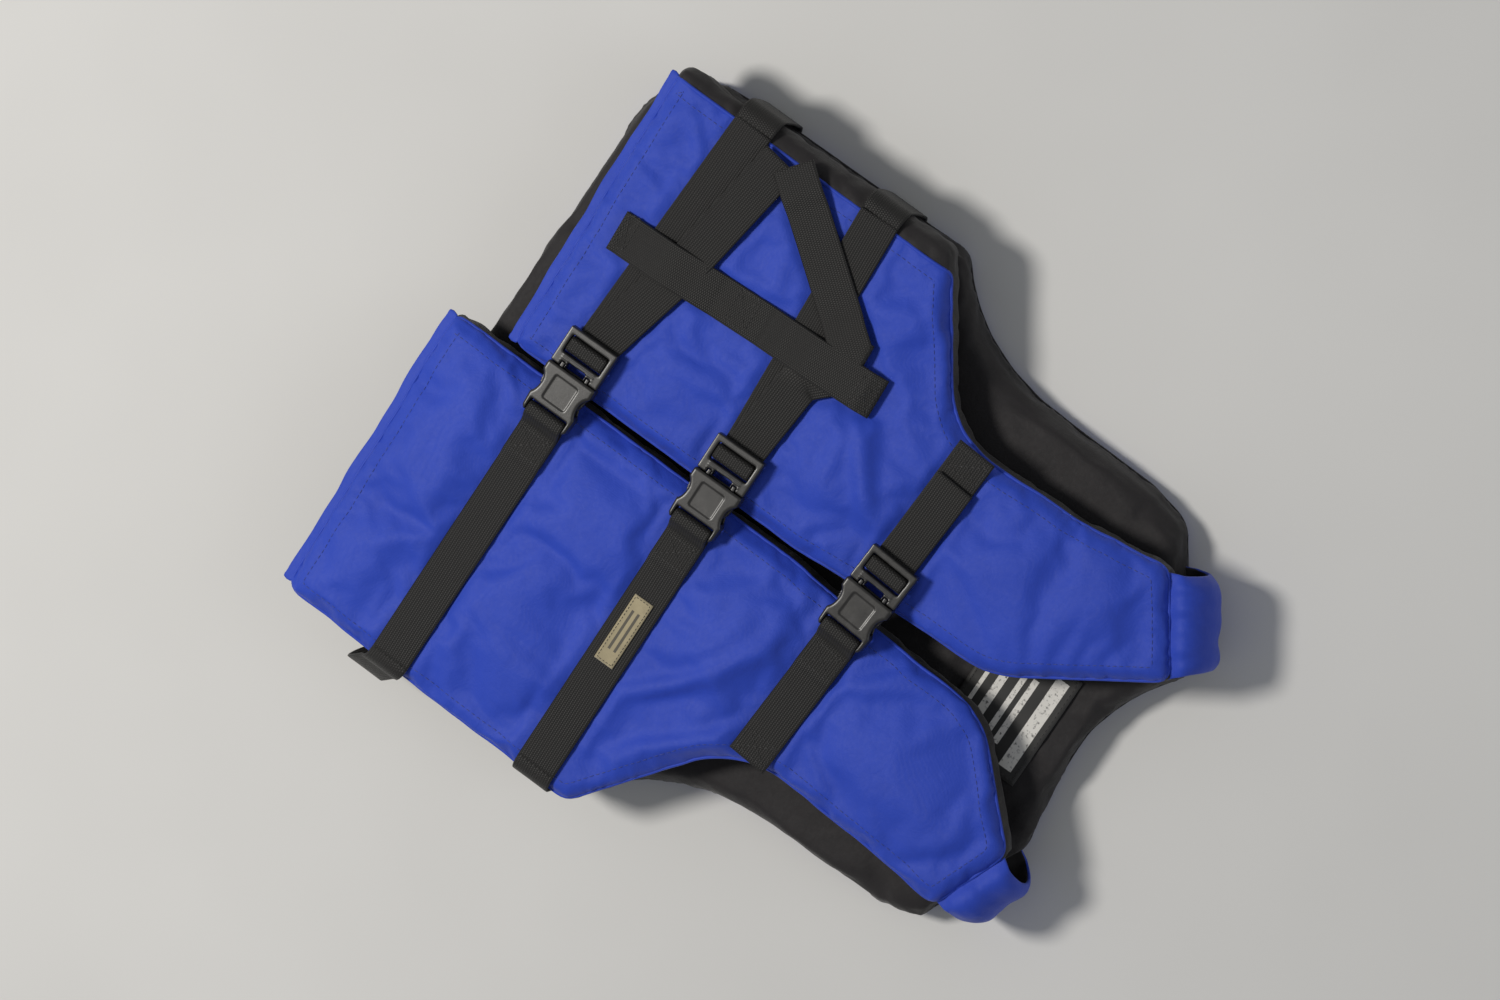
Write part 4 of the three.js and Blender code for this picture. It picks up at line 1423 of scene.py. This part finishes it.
def sew():
    """The stitching of the belts, the keeper and the belt's label."""
    objects = bpy.data.objects
    half = WEB_WIDTH / 2 - 2.2 * MM
    for name in BELTS:
        matrix = buckle_frame(name)
        along = Vector(matrix.col[0][:2]).normalized()
        origin = Vector(matrix.translation[:2])
        at = surface(objects[f"{name}_belt_left_webbing"])
        centre = origin + along * (BODY_LENGTH + 17.5 * MM)
        runs = [laid(at, run) for run in box_of(centre, along, 7.5 * MM, half)]
        stitching(f"{name}_fold_stitches", runs, "left_front", black_thread, "webbing", **BELT_STITCH)
    # the chest belt's ends, sewn down at the armholes
    mouth = Vector(buckle_frame("chest").translation[:2])
    ends = {"right": flat_path("chest_belt_right")[-1], "left": flat_end("chest_belt_left")}
    for side, end in ends.items():
        piece = f"chest_belt_{side}_webbing"
        at = surface(objects[piece])
        end = Vector(end)
        along = (end - mouth).normalized()
        runs = [laid(at, run) for run in box_of(end - along * 10 * MM, along, 6.5 * MM, half)]
        stitching(f"{piece}_stitches", runs, f"{side}_front", black_thread, "webbing", **BELT_STITCH)
    # the keeper's ends, and the tack between the belts
    path = np.array([tuple(v.co) for v in objects["keeper_webbing"].data.vertices])
    top = path[path[:, 1] > path[:, 1].max() - 2 * MM]
    bottom = path[path[:, 1] < path[:, 1].min() + 2 * MM]
    a, b = Vector(top.mean(0)[:2]), Vector(bottom.mean(0)[:2])
    along = (b - a).normalized()
    at = surface(objects["keeper_webbing"])
    boxes = [(a + along * 8 * MM, 6 * MM), (a.lerp(b, 0.52), 7 * MM), (b - along * 5.5 * MM, 4 * MM)]
    runs = [laid(at, run) for centre, long in boxes for run in box_of(centre, along, long, half)]
    stitching("keeper_stitches", runs, "right_front", black_thread, "webbing", **BELT_STITCH)
    # the label's border
    label = objects["belt_label_patch"]
    at = surface(label)
    corners = [v.co for v in label.data.vertices]
    centre = sum(corners, Vector()) / len(corners)
    along = Vector(buckle_frame("middle").col[0][:2])
    runs = [laid(at, run) for run in box_of(Vector(centre[:2]), along, 21.2 * MM, 5.3 * MM, cross=False)]
    stitching("belt_label_stitches", runs, "left_front", black_thread, "webbing",
              length=1.6 * MM, space=0.7 * MM, radius=0.2 * MM)


def sew_neck_label():
    """The stitching round the label inside the collar."""
    label = bpy.data.objects["neck_label_patch"]
    at = surface(label)
    lowest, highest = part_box("neck_label")
    middle, half = (lowest + highest) / 2, (highest - lowest) / 2
    corners = box_of(Vector(middle[:2]), Vector((1, 0)), half.x - 2.2 * MM, half.y - 2.2 * MM, cross=False)
    stitching("neck_label_stitches", [laid(at, run) for run in corners], "back", black_thread, "lining",
              length=2.2 * MM, space=0.9 * MM, radius=0.22 * MM)


def inside_seam(path, distance):
    """A closed line in the plan, a distance inside a seam."""
    plan = [(p.x, p.y) for p in path]
    inner = moved_in(plan if area(plan) > 0 else plan[::-1], distance)
    return inner + inner[:1]


def topstitch(side, path):
    """A row of stitches a few millimetres inside a front's edge seam."""
    piece = bpy.data.objects[f"{side}_front_cloth"]
    tree = BVHTree.FromObject(piece, bpy.context.evaluated_depsgraph_get())
    points, ups = [], []
    for x, y in inside_seam(path, 8.5 * MM):
        hit, normal, _, _ = tree.ray_cast(Vector((x, y, 0.3)), Vector((0, 0, -1)))
        if hit and hit.z > FRONT_TOP - SEAM_DROP:
            normal = normal if normal.z > 0 else -normal
            points.append(hit + normal * THREAD_LIFT)
            ups.append(normal)
    stitching(f"{side}_edge_stitches", [(points, ups)], f"{side}_front", blue_thread, "shell", **EDGE_STITCH)


def topstitch_back(path):
    """The same row on the back's outer side, left out where a belt covers it."""
    piece = bpy.data.objects["back_shell_cloth"]
    tree = BVHTree.FromObject(piece, bpy.context.evaluated_depsgraph_get())
    inner = finely([(*p, 0) for p in inside_seam(path, 10 * MM)])
    covered = near_lines(np.array([tuple(p) for p in inner]), under_lines(), WEB_WIDTH / 2 + 2 * MM)
    runs = [([], [])]
    for p, cover in zip(inner, covered):
        hit, normal, _, _ = tree.ray_cast(Vector((p.x, p.y, -0.1)), Vector((0, 0, 1)))
        if hit and hit.z < BACK_BASE + 4 * MM and cover < 0.9:
            normal = normal if normal.z < 0 else -normal
            runs[-1][0].append(hit + normal * THREAD_LIFT)
            runs[-1][1].append(normal)
        elif runs[-1][0]:
            runs.append(([], []))
    runs = [run for run in runs if len(run[0]) > 4]
    stitching("back_edge_stitches", runs, "back", blue_thread, "shell", **EDGE_STITCH)

# ---- The stage ----------------------------------------------------------------------------


def camera():
    """Nearly overhead, from the wearer's right shoulder, with the collar at the lower right."""
    centre = (cad_box[0] + cad_box[1]) / 2
    elevation = math.radians(74)
    level = Vector((-1.35, 1.08, 0)).normalized()
    back = level * math.cos(elevation) + Vector((0, 0, math.sin(elevation)))
    collar = Vector((0, 1, 0)) - back * back.y
    collar.normalize()
    square = back.cross(collar)
    roll = math.atan2(0.591, 0.807)
    right = collar * math.cos(roll) + square * math.sin(roll)
    up = back.cross(right)
    spread = []
    for node in frame["nodes"].values():
        spread += [(v.co.dot(right), v.co.dot(up)) for v in node.data.vertices]
    spread = np.array(spread)
    middle, size = (spread.max(0) + spread.min(0)) / 2, spread.max(0) - spread.min(0)
    centre += right * (middle[0] - centre.dot(right)) + up * (middle[1] - centre.dot(up))
    distance = 5.2
    data = bpy.data.cameras.new("camera")
    data.sensor_width = 36
    filled = 0.88  # share of the picture that the vest takes
    data.lens = filled * distance * min(36 / size[0], 24 / size[1])
    made = linked("camera", data)
    rotation = Matrix((right, up, back)).transposed().to_4x4()
    made.matrix_world = Matrix.Translation(centre + back * distance) @ rotation
    bpy.context.scene.camera = made
    return right, up, back


def area_light(name, direction, distance, size, power, colour=(1, 1, 1)):
    data = bpy.data.lights.new(name, "AREA")
    data.shape = "DISK"
    data.size = size
    data.energy = power
    data.color = colour
    made = linked(name, data)
    direction = direction.normalized()
    made.location = direction * distance
    made.rotation_mode = "QUATERNION"
    made.rotation_quaternion = direction.to_track_quat("Z", "Y")


def set_stage():
    """The camera, a plain pale floor and soft studio light."""
    right, up, back = camera()
    bpy.ops.mesh.primitive_plane_add(size=8, location=(0, 0, -0.02 * MM))
    floor = bpy.context.object
    floor.name = "floor"
    s = Shader("floor", 0.8, 0.2)
    cloud = s.noise(s.coordinates(), 3, 3)
    s.colour(s.ramp(cloud, (0.3, (0.62, 0.615, 0.6)), (0.7, (0.66, 0.655, 0.64))))
    floor.data.materials.append(s.material)
    world = bpy.data.worlds.new("studio")
    world.use_nodes = True
    sky = world.node_tree.nodes["Background"].inputs
    sky["Color"].default_value = (0.92, 0.95, 1.0, 1)
    sky["Strength"].default_value = 0.25
    bpy.context.scene.world = world
    bpy.context.scene.view_settings.view_transform = "Standard"
    key = -right * 0.9 + up * 0.15 + back * 0.9
    area_light("key", key, 2.4, 0.5, 41, (1.0, 0.97, 0.92))
    area_light("fill", right * 0.8 - up * 0.3 + back * 0.9, 2.8, 1.6, 7, (0.9, 0.95, 1.0))


def build():
    """Belts come first, because the pads are pressed down under them."""
    lay_belts()
    keeper()
    seams = {side: front_pad(side) for side in ("right", "left")}
    back_path = back_pad()
    for side in ("right", "left"):
        shoulder(side)
    lay_sides()
    buckles()
    along = buckle_frame("middle").col[0]
    patch("belt_label_patch", "belt_label", label_weave, "left_front",
          turn=math.atan2(along[1], along[0]), wave=0.1 * MM)
    patch("neck_label_patch", "neck_label", label_print, "back", wave=0.6 * MM)
    sew()
    sew_neck_label()
    for side, path in seams.items():
        topstitch(side, path)
    topstitch_back(back_path)


build()
set_stage()
